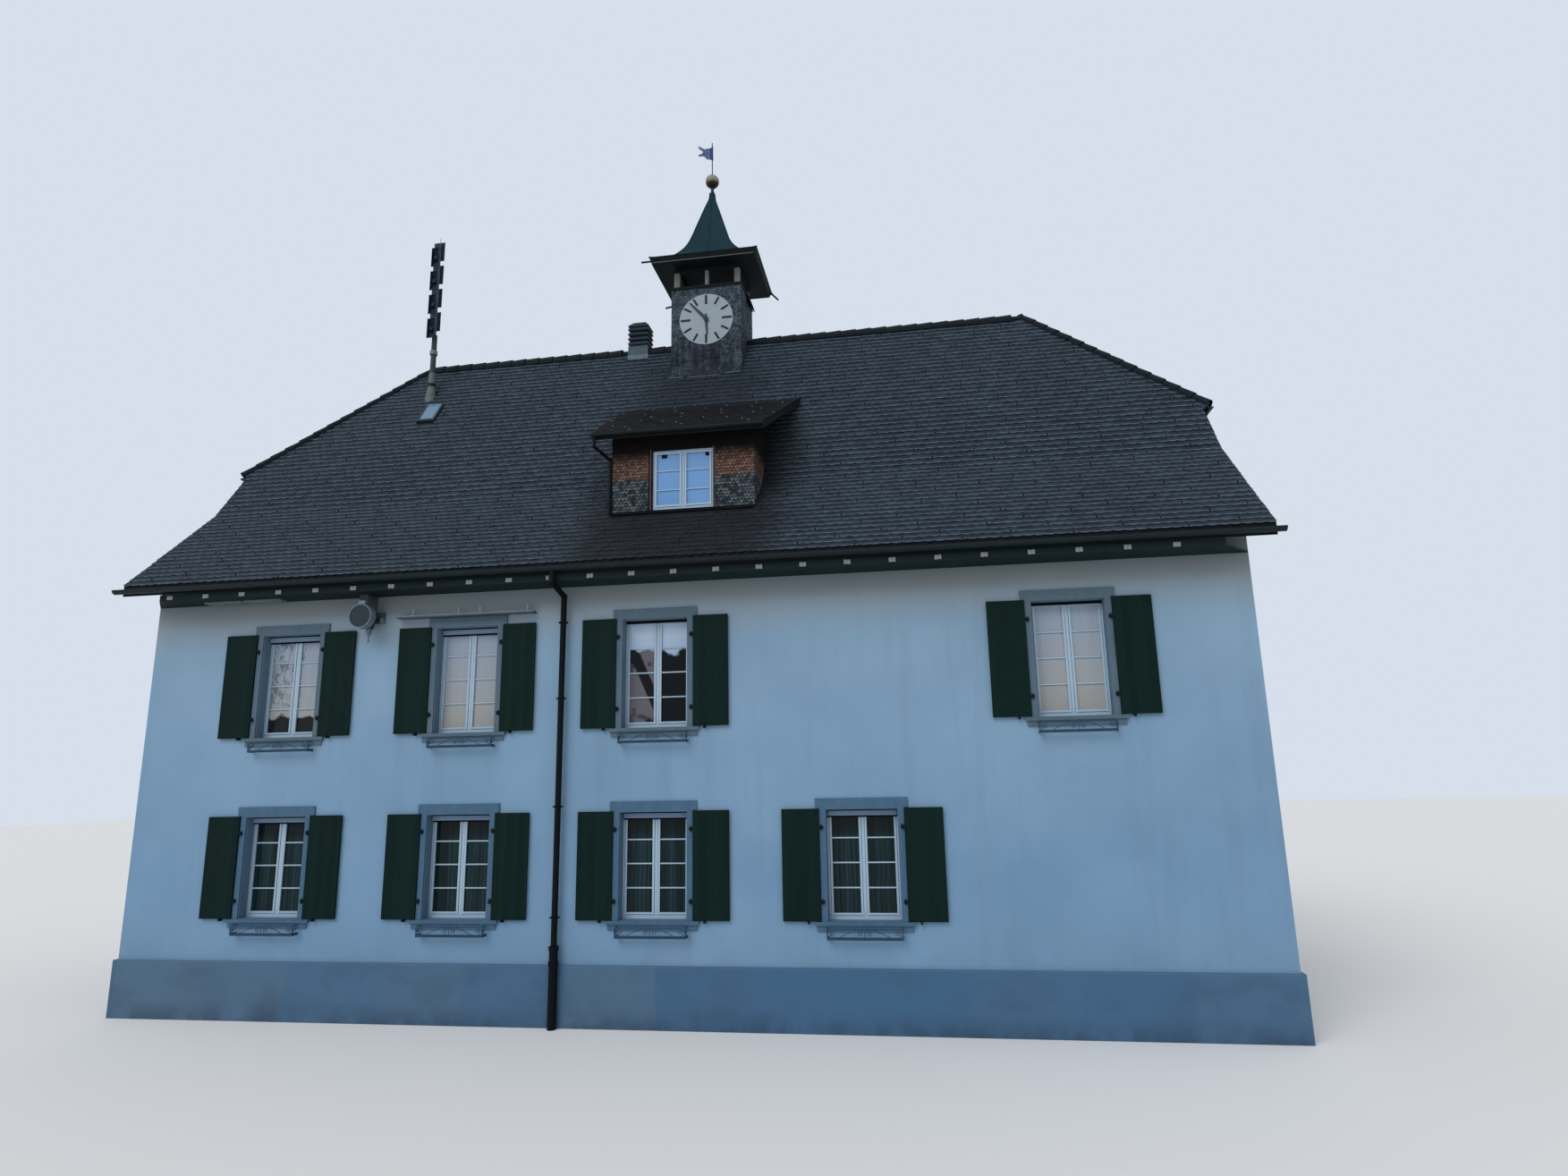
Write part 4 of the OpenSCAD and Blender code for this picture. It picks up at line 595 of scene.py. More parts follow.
# %% The laying and tracing trees
def new_tree(name, **inputs):
    """A geometry tree with named inputs: its graph, the inputs as wires and their identifiers."""
    g = Graph(bpy.data.node_groups.new(name, "GeometryNodeTree"))
    add_socket, ids = g.tree.interface.new_socket, {}
    for label, kind in inputs.items():
        ids[label] = add_socket(label.replace("_", " "), in_out="INPUT", socket_type="NodeSocket" + kind).identifier
    add_socket("Made", in_out="OUTPUT", socket_type="NodeSocketGeometry")
    return g, {s.name: Wire(g, s) for s in g.tree.nodes.new("NodeGroupInput").outputs}, ids


def end_tree(g, made, finish):
    real = g.put("GeometryNodeRealizeInstances", {}, {0: made})
    dressed = g.put("GeometryNodeSetMaterial", {}, {0: real, 2: finish})
    g.tree.links.new(dressed.socket, g.tree.nodes.new("NodeGroupOutput").inputs[0])


lay_graph, take, lay_inputs = new_tree("lay_pieces", Seats="Geometry", Piece="Object", Loose_turn="Vector",
                                       Loose_place="Vector", Seed="Int", Finish="Material")


def spread(vector, seed):
    """A random vector between minus and plus the given one."""
    back = lay_graph.put("ShaderNodeVectorMath", {"operation": "SCALE"}, {0: vector, 3: -1.0})
    return lay_graph.put("FunctionNodeRandomValue", {"data_type": "FLOAT_VECTOR"}, {0: back, 1: vector, 8: seed})


def brought(name):
    return lay_graph.put("GeometryNodeInputNamedAttribute", {"data_type": "FLOAT_VECTOR"}, {0: name})


moved = lay_graph.put("GeometryNodeSetPosition", {}, {0: take["Seats"], 3: spread(take["Loose place"], take["Seed"])})
all_turn = lay_graph.vector("ADD", brought("turn"), spread(take["Loose turn"], take["Seed"] + 1.0))
unit = lay_graph.put("GeometryNodeObjectInfo", {}, {0: take["Piece"]}, out="Geometry")
laid = lay_graph.put("GeometryNodeInstanceOnPoints", {}, {0: moved, 2: unit, 5: all_turn, 6: brought("size")})
tone = lay_graph.put("FunctionNodeRandomValue", {"data_type": "FLOAT"}, {2: 0.0, 3: 1.0, 8: take["Seed"]}, out=1)
toned = lay_graph.put("GeometryNodeStoreNamedAttribute", {"data_type": "FLOAT", "domain": "INSTANCE"},
                      {0: laid, 2: "tone", 3: tone})
end_tree(lay_graph, toned, take["Finish"])

trace_graph, take, trace_inputs = new_tree("trace_paths", Paths="Geometry", Radius="Float", Finish="Material")
curves = trace_graph.put("GeometryNodeMeshToCurve", {}, {"Mesh": take["Paths"]})
circle = trace_graph.put("GeometryNodeCurvePrimitiveCircle", {}, {"Resolution": 6, "Radius": take["Radius"]})
bars = trace_graph.put("GeometryNodeCurveToMesh", {}, {"Curve": curves, "Profile Curve": circle, "Fill Caps": True})
smooth = trace_graph.put("GeometryNodeSetShadeSmooth", {}, {"Geometry": bars, "Shade Smooth": True})
end_tree(trace_graph, smooth, take["Finish"])
print("trees with", len(lay_graph.tree.nodes), "and", len(trace_graph.tree.nodes), "nodes")

# %% [markdown]
# A tree is run on a mesh and its result is kept as a plain piece. Where a piece needs trimming it is cut by planes.
# In the end it rides on the building and, where it stands for a solid, that solid is hidden.


# %% Pieces
def mesh_from(name, points, faces, edges=()):
    mesh = bpy.data.meshes.new(name)
    mesh.from_pydata([tuple(p) for p in points], edges, faces)
    mesh.update()
    return mesh


def reshaped(mesh, work, into=None):
    """Opens a mesh for editing, does the work and writes it back, or into another mesh."""
    shape = bmesh.new()
    shape.from_mesh(mesh)
    work(shape)
    result = into or mesh
    shape.to_mesh(result)
    shape.free()
    return result


def faces_out(shape):
    bmesh.ops.recalc_face_normals(shape, faces=shape.faces[:])


def cut_by(shape, planes):
    """Cuts away what lies beyond each plane (spot, normal) and closes the cut faces."""
    for spot, normal in planes:
        cut = bmesh.ops.bisect_plane(shape, geom=shape.verts[:] + shape.edges[:] + shape.faces[:], plane_co=spot,
                                     plane_no=Vector(normal).normalized(), clear_outer=True, dist=0.00001)
        rim = [e for e in cut["geom_cut"] if isinstance(e, bmesh.types.BMEdge)]
        if rim:
            bmesh.ops.holes_fill(shape, edges=rim, sides=0)


def grow(name, start_mesh, graph, inputs, **given):
    """Runs a tree on a mesh and returns the result as a plain piece."""
    made = plain_object(name, start_mesh)
    modifier = made.modifiers.new("grow", "NODES")
    modifier.node_group = graph.tree
    for label, value in given.items():
        modifier[inputs[label]] = value
    bpy.context.view_layer.update()
    evaluated = made.evaluated_get(bpy.context.evaluated_depsgraph_get())
    result = bpy.data.meshes.new_from_object(evaluated)
    made.modifiers.clear()
    made.data = result
    result.name = name
    return made


def place_on(piece, stands_for=None):
    if stands_for:
        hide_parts(stands_for)
    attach(piece, "building")
    print(piece.name, sum(len(p.vertices) - 2 for p in piece.data.polygons), "triangles")


def show(name, mesh, finish, stands_for=None):
    """A finished mesh as a piece."""
    mesh.name = name
    mesh.materials.clear()
    mesh.materials.append(finish)
    place_on(plain_object(name, mesh), stands_for)


def lay(slot, name, seats, unit_mesh, finish, seed, loose_turn=(0, 0, 0), loose_place=(0, 0, 0), cuts=(),
        stands_for=None):
    """Lays the unit on every seat: (place, turn, size)."""
    cloud = mesh_from(name + "_seats", [s[0] for s in seats], [])
    for label, column in (("turn", 1), ("size", 2)):
        kept = cloud.attributes.new(label, "FLOAT_VECTOR", "POINT")
        kept.data.foreach_set("vector", [v for s in seats for v in s[column]])
    unit = plain_object(name + "_unit", unit_mesh)
    piece = grow(name, cloud, lay_graph, lay_inputs, Piece=unit, Loose_turn=loose_turn, Loose_place=loose_place,
                 Seed=seed, Finish=finish)
    bpy.data.objects.remove(unit)
    for label in ("turn", "size"):
        if label in piece.data.attributes:
            piece.data.attributes.remove(piece.data.attributes[label])
    if cuts:
        reshaped(piece.data, lambda shape: cut_by(shape, cuts))
    place_on(piece, stands_for)


def trace(slot, name, paths, radius):
    """Round bars along paths, each a list of points."""
    points, edges = [], []
    for path in paths:
        edges += [(len(points) + i, len(points) + i + 1) for i in range(len(path) - 1)]
        points += path
    piece = grow(name, mesh_from(name + "_paths", points, [], edges), trace_graph, trace_inputs, Radius=radius,
                 Finish=finishes[slot])
    reshaped(piece.data, faces_out)
    place_on(piece)


# %% [markdown]
# The unit pieces are prisms: a plate with a curved lower edge for tiles and shingles, and blocks whose long edges are
# cut off. They have two dozen faces at most, because more than ten thousand tiles are laid.


# %% Unit pieces
def prism(ring, first, second, along_x=False):
    """A solid between two copies of a ring, across z or, for along_x, across x."""
    count = len(ring)
    points = [(level, a, b) if along_x else (a, b, level) for level in (first, second) for a, b in ring]
    near, far = tuple(range(count)), tuple(range(count, 2 * count))
    steps = [(i, (i + 1) % count) for i in range(count)]
    if first < second:
        faces = [near[::-1], far] + [(i, j, j + count, i + count) for i, j in steps]
    else:
        faces = [near, far[::-1]] + [(i, i + count, j + count, j) for i, j in steps]
    return mesh_from("unit", points, faces)


def cut_corners(low_a, low_b, high_a, high_b, cut):
    return [(low_a, low_b + cut), (low_a + cut, low_b), (high_a - cut, low_b), (high_a, low_b + cut),
            (high_a, high_b - cut), (high_a - cut, high_b), (low_a + cut, high_b), (low_a, high_b - cut)]


def plate(width, length, thick):
    """A plate with a rounded lower edge at y = 0; its points there carry the mark edge."""
    drop, parts, edge_reach = 0.026, 4, 0.03
    shares = [2 * i / parts - 1 for i in range(parts + 1)]
    outline = [(share * width / 2, drop * share * share) for share in shares]
    mesh = prism(outline + [(width / 2, length), (-width / 2, length)], thick, 0.0)
    mark = mesh.attributes.new("edge", "FLOAT", "POINT")
    for spot in mesh.vertices:
        mark.data[spot.index].value = float(spot.co.y < edge_reach)
    return mesh


def hook(width, length, height):
    return prism(cut_corners(-width / 2, 0, width / 2, length, 0.003), 0, height)


def lay_blocks(slot, name, seats, finish, seed, cut=0.16, *loose, **more):
    """Lays blocks: one metre each way, centred, and sized by their seats."""
    lay(slot, name, seats, prism(cut_corners(-0.5, -0.5, 0.5, 0.5, cut), -0.5, 0.5, True), finish, seed, *loose, **more)


# %% [markdown]
# The roof bends: a flatter slope near the eaves, a steep one above. Both ends are cut back by half hips. The sizes
# here repeat those of the solid roof, in metres, so the tiles lie on it without a gap.

# %% Roof lines
eaves_y, kink_y, kink_z, flat_rise = 5.011, 3.084, 9.303, 0.95897
ridge_z, ridge_half = 13.7126, 7.020
verge_x, hip_rise, hip_eave_x = 9.842, 1.0951, 9.960
hip_foot_z = ridge_z - (hip_eave_x - ridge_half) * hip_rise
gauge, tile_width, tile_long, tile_thick = 0.154, 0.17, 0.20, 0.014
nose_lift = tile_thick / gauge * tile_long
tile_tilt = math.atan(tile_thick / gauge)


def roof_height(y):
    """Height of the slope at a distance from the ridge."""
    out = abs(y)
    return kink_z - (out - kink_y) * flat_rise if out > kink_y else kink_z + (kink_y - out) * steep_rise


def hip_half(z):
    """Half length of the main slope at height z, up to the hips or the verge."""
    return min(verge_x, ridge_half + (ridge_z - z) / hip_rise)


print("ridge at", ridge_z, "hip eaves at", round(hip_foot_z, 3))

# %% [markdown]
# Courses run up each slope every 154 mm, each shifted by half a tile. Where the dormer, turret, chimney, skylight or
# mast stand, the course stops and the last tile is cut to fit, as a roofer would.

# %% Courses
chimney_x, chimney_y = -1.765, 0.035
dormer_x, dormer_half = 0.328, 1.33
dormer_front_y, dormer_top_y = -3.872, -1.4756
in_the_roof = {  # x from, x to, y from, y to
    "turret": (-0.815, 0.815, -0.742, 0.742),
    "chimney": (chimney_x - 0.245, chimney_x + 0.245, chimney_y - 0.20, chimney_y + 0.20),
    "dormer": (dormer_x - dormer_half + 0.01, dormer_x + dormer_half - 0.01, dormer_front_y + 0.02,
               dormer_top_y - 0.1),
    "skylight": (-6.525, -6.095, -1.36, -0.97),
    "mast": (-6.62, -6.48, -0.80, -0.65),
}
tile_fill, shingle_fill = 0.985, 0.97  # how much of its cell's width a tile or shingle fills


def free_spans(low, high, blocked):
    """The parts of low..high that no blocked span covers."""
    spans = [(low, high)]
    for cut_low, cut_high in blocked:
        spans = [(a, b) for low, high in spans for a, b in ((low, min(high, cut_low)), (max(low, cut_high), high))
                 if b > a]
    return [(a, b) for a, b in spans if b - a > 0.02]


def course_cells(k, low, high, blocked, width):
    """Cells of course k, cut where something stands in the way: (middle, width, column)."""
    cells, shift = [], (k % 2) * width / 2
    for a, b in free_spans(low, high, blocked):
        column = math.floor((a - shift) / width)
        while column * width + shift < b:
            left, right = max(a, column * width + shift), min(b, (column + 1) * width + shift)
            if right - left > 0.012:
                cells.append(((left + right) / 2, right - left, column))
            column += 1
    return cells


def standing(y_low, y_high):
    """Spans of x that are taken between two plan lines."""
    return sorted((x_low, x_high) for x_low, x_high, low, high in in_the_roof.values()
                  if y_high > low and y_low < high)


def tile_size(width):
    return (width / tile_width * tile_fill, 1.0, 1.0)


def slope_seats(side, foot, head, rise):
    """Seats of tiles and snow hooks between two distances from the ridge, on the front (-1) or back (+1)."""
    seats, hooks = [], []
    pitch = math.atan(rise)
    run = (foot - head) / math.cos(pitch)
    courses = round(run / gauge)
    step_up = run / courses
    turn = (pitch - tile_tilt, 0, 0.0 if side < 0 else math.pi)
    for k in range(courses):
        out = foot - k * step_up * math.cos(pitch)
        next_out = out - step_up * math.cos(pitch)
        z = roof_height(out)
        half = hip_half(z) + (0.0 if hip_half(z) >= verge_x else 0.05)
        taken = standing(*((-out, -next_out) if side < 0 else (next_out, out)))
        for middle, width, column in course_cells(k, -half, half, taken, tile_width):
            place = (middle, side * (out + nose_lift * math.sin(pitch)), z + nose_lift * math.cos(pitch))
            seats.append((place, turn, tile_size(width)))
            if (column - 4 * k) % 10 == 0 and width > tile_width * 0.9:
                hooks.append((place, turn, (1, 1, 1)))
    return seats, hooks


# %% [markdown]
# The long slopes are laid in four pieces, front and back, low and steep, and trimmed along the hips.

# %% Slope tiles
tile_unit = plate(tile_width, tile_long, tile_thick)
tile_loose = (0.016, 0.012, 0.02), (0.003, 0.004, 0.0008)
overhang = 0.03
hip_planes = [((end * ridge_half, 0, ridge_z + 0.05), (end * hip_rise, 0, 1)) for end in (-1, 1)]
slope_planes = [((0, 0, ridge_z + 0.05), (0, side * steep_rise, 1)) for side in (-1, 1)]
hook_seats = []
for side, word in ((-1, "front"), (1, "back")):
    for foot, head, rise, level in ((eaves_y + overhang * 0.72, kink_y, flat_rise, "low"),
                                    (kink_y, 0.055, steep_rise, "steep")):
        seats, hooks = slope_seats(side, foot, head, rise)
        hook_seats += hooks
        lay("roof_tile", f"{word}_{level}_tiles", seats, tile_unit, finishes["roof_tile"], len(hook_seats) + 3,
            *tile_loose, hip_planes)

# %% [markdown]
# The half hips are tiled the same way; their rows are shorter as they rise, and end under the hip caps.

# %% Half hip tiles
hip_pitch = math.atan(hip_rise)
hip_courses = round(((hip_eave_x - ridge_half) / math.cos(hip_pitch) + 0.02) / gauge)
for end, word in ((-1, "left"), (1, "right")):
    seats = []
    for k in range(hip_courses):
        out = hip_eave_x + 0.014 - k * gauge * math.cos(hip_pitch)
        z = ridge_z - (out - ridge_half) * hip_rise
        half = (ridge_z - z) / steep_rise + 0.05
        for middle, width, column in course_cells(k, -half, half, [], tile_width):
            place = (end * (out + nose_lift * math.sin(hip_pitch)), middle, z + nose_lift * math.cos(hip_pitch))
            seats.append((place, (hip_pitch - tile_tilt, 0, math.pi / 2 * end), tile_size(width)))
    lay("roof_tile", f"{word}_hip_tiles", seats, tile_unit, finishes["roof_tile"], 60 + end, *tile_loose,
        slope_planes)

# %% [markdown]
# The dormer's roof is flatter and widens upwards. Its tiles are browner than those around it.

# %% Dormer roof tiles
dormer_pitch = math.radians(30)
dormer_roof_x, dormer_eave_y, dormer_eave_z = 0.29, -4.165, 10.05
dormer_eave_half, dormer_top_half = 1.60, 1.95
dormer_seats = []
dormer_run = (dormer_top_y - dormer_eave_y) / math.cos(dormer_pitch)
for k in range(int(dormer_run / gauge)):
    up = k * gauge
    half = dormer_eave_half + (dormer_top_half - dormer_eave_half) * (up + gauge / 2) / dormer_run
    y = dormer_eave_y - 0.02 + up * math.cos(dormer_pitch) - nose_lift * math.sin(dormer_pitch)
    z = dormer_eave_z - 0.012 + up * math.sin(dormer_pitch) + nose_lift * math.cos(dormer_pitch)
    for middle, width, column in course_cells(k, dormer_roof_x - half, dormer_roof_x + half, [], tile_width):
        dormer_seats.append(((middle, y, z), (dormer_pitch - tile_tilt, 0, 0), tile_size(width)))
lay("roof_tile", "dormer_tiles", dormer_seats, tile_unit, brown_tiles, 77, (0.012, 0.008, 0.008),
    (0.002, 0.002, 0.0008))

# %% [markdown]
# Snow hooks are bent flat irons, one on every tenth tile of a course and shifted from course to course, so they form
# slanting lines over the roof and keep snow from sliding off.

# %% Snow hooks
hook_loose = (0.05, 0.02, 0.05)
hook_iron = weathered_metal("hook_iron", (24, 30, 36), (58, 60, 60), 0.6)
lay("gutter_metal", "snow_hooks", hook_seats, hook(0.022, 0.014, 0.045), hook_iron, 5, hook_loose)

# %% [markdown]
# The ridge is covered by tapered caps. Each cap's wide end lies over the narrow end of the next, which gives the
# ridge its little steps. The hips carry the same caps in a smaller size, one to two courses. A dab of mortar closes
# the lowest one.


# %% Ridge and hip caps
def cap(length, narrow, wide, thick, segments=8, sweep=215):
    """A tapered half pipe: wide end at y = 0, narrow end at y = length, open below."""
    count = segments + 1
    angles = [math.radians(90 - sweep / 2 + sweep * i / segments) for i in range(count)]
    points = [(r * math.cos(angle), y, r * math.sin(angle)) for y, radius in ((0.0, wide), (length, narrow))
              for r in (radius, radius - thick) for angle in angles]
    near_out, near_in, far_out, far_in = (k * count for k in range(4))
    faces = []
    for k in range(segments):
        for a, b, i, j in ((near_out, far_out, k, k + 1), (near_in, far_in, k + 1, k),
                           (near_in, near_out, k, k + 1), (far_out, far_in, k, k + 1)):
            faces.append((a + i, a + j, b + j, b + i))
    faces += [(near_out, far_out, far_in, near_in), tuple(k + segments for k in (near_in, far_in, far_out, near_out))]
    return reshaped(mesh_from("cap_unit", points, faces), faces_out)


def turn_along(direction):
    """Turn that points a piece's y along direction and its z as near up as it can."""
    y = Vector(direction).normalized()
    x = y.cross(Vector((0, 0, 1))).normalized()
    return Matrix((x, y, x.cross(y))).transposed().to_euler("XYZ")


ridge_pitch = 0.345
no_caps = ((0.17, 0.95), (chimney_x, 0.24), (chimney_x + ridge_pitch, 0.24))  # middle and reach of what stands there
cap_seats = []
x = -ridge_half + 0.36
while x < ridge_half + 0.05:
    if all(abs(x - middle) > reach for middle, reach in no_caps):
        cap_seats.append(((x, 0, ridge_z - 0.07), (0, 0, math.pi / 2), (1, 1, 1)))
    x += ridge_pitch
lay("roof_tile", "ridge_caps", cap_seats, cap(0.37, 0.134, 0.156, 0.014), finishes["roof_tile"], 11,
    (0.006, 0.012, 0.006))

hip_caps, mortar_seats, caps_on_hip = [], [], 14
hip_foot_y = (ridge_z - hip_foot_z) / steep_rise
for end in (-1, 1):
    for side in (-1, 1):
        foot = Vector((end * hip_eave_x, side * hip_foot_y, hip_foot_z))
        head = Vector((end * ridge_half, 0, ridge_z))
        turn = turn_along(head - foot)
        mortar_seats.append((foot.lerp(head, 0.01) + Vector((0, 0, -0.035)), turn, (0.17, 0.05, 0.15)))
        for k in range(caps_on_hip):
            spot = foot.lerp(head, (k - 0.1) / caps_on_hip) + Vector((0, 0, -0.012))
            hip_caps.append((spot, turn, (1, 1, 1)))
lay("roof_tile", "hip_caps", hip_caps, cap(0.46, 0.08, 0.106, 0.013, 6), finishes["roof_tile"], 12,
    (0.01, 0.02, 0.01))

# %% [markdown]
# Turret and dormer are clad in small round-ended wooden shingles, about 7 cm wide with 6 cm showing. They lie like
# the tiles, only upright, so the same plate and the same laying tree serve; the rows stop at the clock and window.

# %% Shingles
shingle_w, shingle_gauge, shingle_long, shingle_thick = 0.068, 0.06, 0.11, 0.006
shingle_unit = plate(shingle_w, shingle_long, shingle_thick)
shingle_tilt = math.atan(shingle_thick / shingle_gauge)
shingle_lift = shingle_thick / shingle_gauge * shingle_long
facing = {"front": 0.0, "right": math.pi / 2, "back": math.pi, "left": -math.pi / 2}


def on_side(word, along, out, z):
    """A place on a side: along to the right as one faces it, out from the middle."""
    c, s = math.cos(facing[word]), math.sin(facing[word])
    return (along * c + out * s, along * s - out * c, z)


def shingle_row(word, k, low, high, blocked, centre_x, out, z, lean=math.pi / 2, mirror=1):
    """Seats of one row on an upright or leaning side."""
    seats, turn = [], (lean - shingle_tilt, 0, facing[word])
    for middle, width, column in course_cells(k, low, high, blocked, shingle_w):
        x, y, z = on_side(word, middle * mirror, out + shingle_lift * math.sin(lean), z)
        seats.append(((x + centre_x, y, z), turn, (width / shingle_w * shingle_fill, 1, 1)))
    return seats


def row_heights(low, high):
    return [(k, low + k * shingle_gauge) for k in range(int((high - low) / shingle_gauge))]


turret_x, turret_y, turret_top, flare_z = 0.808, 0.648, 14.85, 13.05
dial_z, dial_r = 14.045, 0.62
skirt_out, skirt_side_out, skirt_foot_z = 0.11, 0.012, 12.645
skirt_lean = math.atan2(flare_z - skirt_foot_z, skirt_out)


def flare(z, out=skirt_out):
    """How far the turret's foot swings out at height z."""
    return max(0.0, (flare_z - z) / (flare_z - skirt_foot_z)) * out


def under_dial(z):
    up, reach = abs(z + 0.05 - dial_z), dial_r - 0.03
    half = math.sqrt(max(reach * reach - up * up, 0.0))
    return [(-half, half)] if half else []


def below_ridge(z):
    taken = (ridge_z + 0.02 - z) / steep_rise
    return [(-taken, taken)] if taken > 0 else []


turret_seats = []
for word in ("front", "back"):
    for k, z in row_heights(skirt_foot_z, turret_top - 0.03):
        half = turret_x + flare(z, skirt_side_out) + 0.004
        turret_seats += shingle_row(word, k, -half, half, under_dial(z) if word == "front" else [], 0,
                                    turret_y + flare(z), z, skirt_lean if z < flare_z - 0.03 else math.pi / 2)
for word in ("left", "right"):
    for k, z in row_heights(skirt_foot_z + 0.06, turret_top - 0.03):
        half = turret_y + flare(z) + 0.004
        turret_seats += shingle_row(word, k, -half, half, below_ridge(z), 0, turret_x + flare(z, skirt_side_out), z)
lay("turret_shingle", "turret_shingles", turret_seats, shingle_unit, finishes["turret_shingle"], 21,
    (0.02, 0.03, 0.02), (0.001, 0.0006, 0.002))

# %% [markdown]
# On the dormer's cheeks each row runs from the roof slope to the front edge, or to the underside of its roof.

# %% Dormer shingles
dormer_window_half = 0.566
window_foot, window_head = 8.604, 9.742
beside_window = [(-dormer_window_half - 0.075, dormer_window_half + 0.03)]
wall_seats = []
for k, z in row_heights(8.6, 10.1):
    wall_seats += shingle_row("front", k, -dormer_half - 0.004, dormer_half + 0.004,
                              beside_window if z < window_head + 0.04 else [], dormer_x, -dormer_front_y, z)
for word, mirror in (("left", -1), ("right", 1)):
    for k, z in row_heights(8.6, 10.6):
        roof_meets = kink_y - (z - kink_z) / steep_rise if z > kink_z else kink_y + (kink_z - z) / flat_rise
        ceiling = -dormer_eave_y - (z + 0.17 - dormer_eave_z) / math.tan(dormer_pitch)
        a, b = roof_meets - 0.03, min(-dormer_front_y, ceiling)
        if b - a >= 0.03:
            wall_seats += shingle_row(word, k, -b, -a, [], dormer_x, dormer_half, z, mirror=mirror)
lay("dormer_shingle", "dormer_shingles", wall_seats, shingle_unit, finishes["dormer_shingle"], 22,
    (0.03, 0.05, 0.03), (0.002, 0.001, 0.003))

# %% [markdown]
# Thin white bars divide every casement. Each sash stands a little proud of the outer frame, with a dark strip of
# painted shadow round it where the gap lies. One unit block serves for all of them: its seat gives the length,
# height and depth.

# %% Window rows
wall_out = {"front": half_deep, "back": half_deep, "left": half_long, "right": half_long}
# Foot and height of the opening, distance of each light from the middle and width of its pane
upper, ground, attic = (4.68, 1.84, 0.2805, 0.441), (1.62, 1.69, 0.2805, 0.441), (8.25, 1.15, 0.1955, 0.277)
window_rows = []
for word, places, storey in (("front", (-6.8, -3.4, 0.0, 6.8), upper), ("front", (-6.8, -3.4, 0.0, 3.4), ground),
                             ("back", (-6.8, -3.4, 0.0, 3.4, 6.8), upper), ("back", (-6.8, -3.4, 3.4, 6.8), ground)):
    window_rows += [(word, along, *storey) for along in places]
for word in ("left", "right"):
    window_rows += [(word, along, *storey) for along in (-1.9, 1.9) for storey in (upper, ground)]
    window_rows.append((word, 0.0, *attic))
large_windows = [row[:4] for row in window_rows if row[3] != attic[1]]
bar_seats, sash_seats, gap_seats = [], [], []
rail = 0.034


def add_light(word, out, middle, foot, high, wide, bar_heights, nearer=0.0):
    """Seats for the bars and the raised sash round one pane."""
    def put_block(seats, along, z, length, tall, deep, depth, upright=False):
        seats.append((on_side(word, along, out - (depth - nearer), z),
                      (0, math.pi / 2 if upright else 0, facing[word]), (length, deep, tall)))

    for z in bar_heights:
        put_block(bar_seats, middle, z, wide + 0.01, 0.022, 0.018, 0.202)
    for end in (-1, 1):
        z = foot + high / 2 + end * (high / 2 + rail / 2 - 0.004)
        put_block(sash_seats, middle, z, wide + 2 * rail, rail, 0.012, 0.186)
        put_block(gap_seats, middle, z + end * (rail / 2 + 0.003), wide + 2 * rail, 0.007, 0.003, 0.189)
    for end in (-1, 1):
        along = middle + end * (wide / 2 + rail / 2 - 0.004)
        put_block(sash_seats, along, foot + high / 2, high + 2 * rail, rail, 0.0118, 0.186, True)
        put_block(gap_seats, along + end * (rail / 2 + 0.003), foot + high / 2, high + 2 * rail, 0.007, 0.0028, 0.189,
                  True)


for word, along, foot, high, offset, wide in window_rows:
    light_foot, light_high = foot + 0.097, high - 0.163
    rows = 3 if high == attic[1] else 4
    bars_at = [light_foot + light_high * k / rows for k in range(1, rows)]
    for side in (-1, 1):
        add_light(word, wall_out[word], along + side * offset, light_foot, light_high, wide, bars_at)
for side in (-1, 1):
    add_light("front", -dormer_front_y, dormer_x + side * 0.28, window_foot + 0.097, 0.975, 0.44, [8.99, 9.356], 0.16)
lay_blocks("window_paint", "window_bars", bar_seats, finishes["window_paint"], 31)
lay_blocks("window_paint", "sash_rails", sash_seats, finishes["window_paint"], 32, 0.1)
# painted shadow: dark strips in the gaps round each sash
gap_shade = weathered_metal("gap_shade", (62, 80, 94), (48, 62, 74), 0.7)
lay_blocks("window_paint", "sash_gaps", gap_seats, gap_shade, 41, 0.1)
lay_blocks("render_grey", "hip_mortar", mortar_seats, finishes["render_grey"], 45, 0.3)

# %% [markdown]
# Black iron brackets carry each shutter at its inner edge, and a small catch holds its foot to the wall. Each window
# head hides a roller blind: the photo shows a black slot under the lintel and, where there is a case, another below
# it. Black strips just in front of the frame are painted shadow in these slots.

# %% Shutter irons and blind slots
iron_seats, catch_seats, slot_seats = [], [], []
blind_cases = [("front", -6.8, upper[0]), ("front", -3.4, upper[0])]
blind_cases += [("front", along, ground[0]) for along in (-6.8, -3.4, 0.0, 3.4)]
for word, along, foot, high in large_windows:
    wall_face, turn, head = wall_out[word], (0, 0, facing[word]), foot + high
    for side in (-1, 1):
        for share in (0.171, 0.831):
            z = foot + 0.005 + (high + 0.013) * share
            for reach, out, length, tall in ((0.655, 0.044, 0.09, 0.03), (0.64, 0.052, 0.035, 0.075)):
                iron_seats.append((on_side(word, along + side * reach, wall_face + out, z), turn,
                                   (length, 0.026, tall)))
        catch_seats.append((on_side(word, along + side * 0.87, wall_face + 0.045, foot - 0.007), turn,
                            (0.03, 0.09, 0.05)))
    # painted shadow under the lintel and, with a blind case, below it
    strips = ((head - 0.026, 0.05, 0.182, 0.015),)
    if (word, along, foot) in blind_cases:
        strips = ((head - 0.0127, 0.023, 0.157, 0.04), (head - 0.115, 0.026, 0.182, 0.015))
    for z, tall, depth, deep in strips:
        slot_seats.append((on_side(word, along, wall_face - depth, z), turn, (1.126, deep, tall)))
black_iron = weathered_metal("black_iron", (12, 16, 20), (28, 32, 36), 0.5)
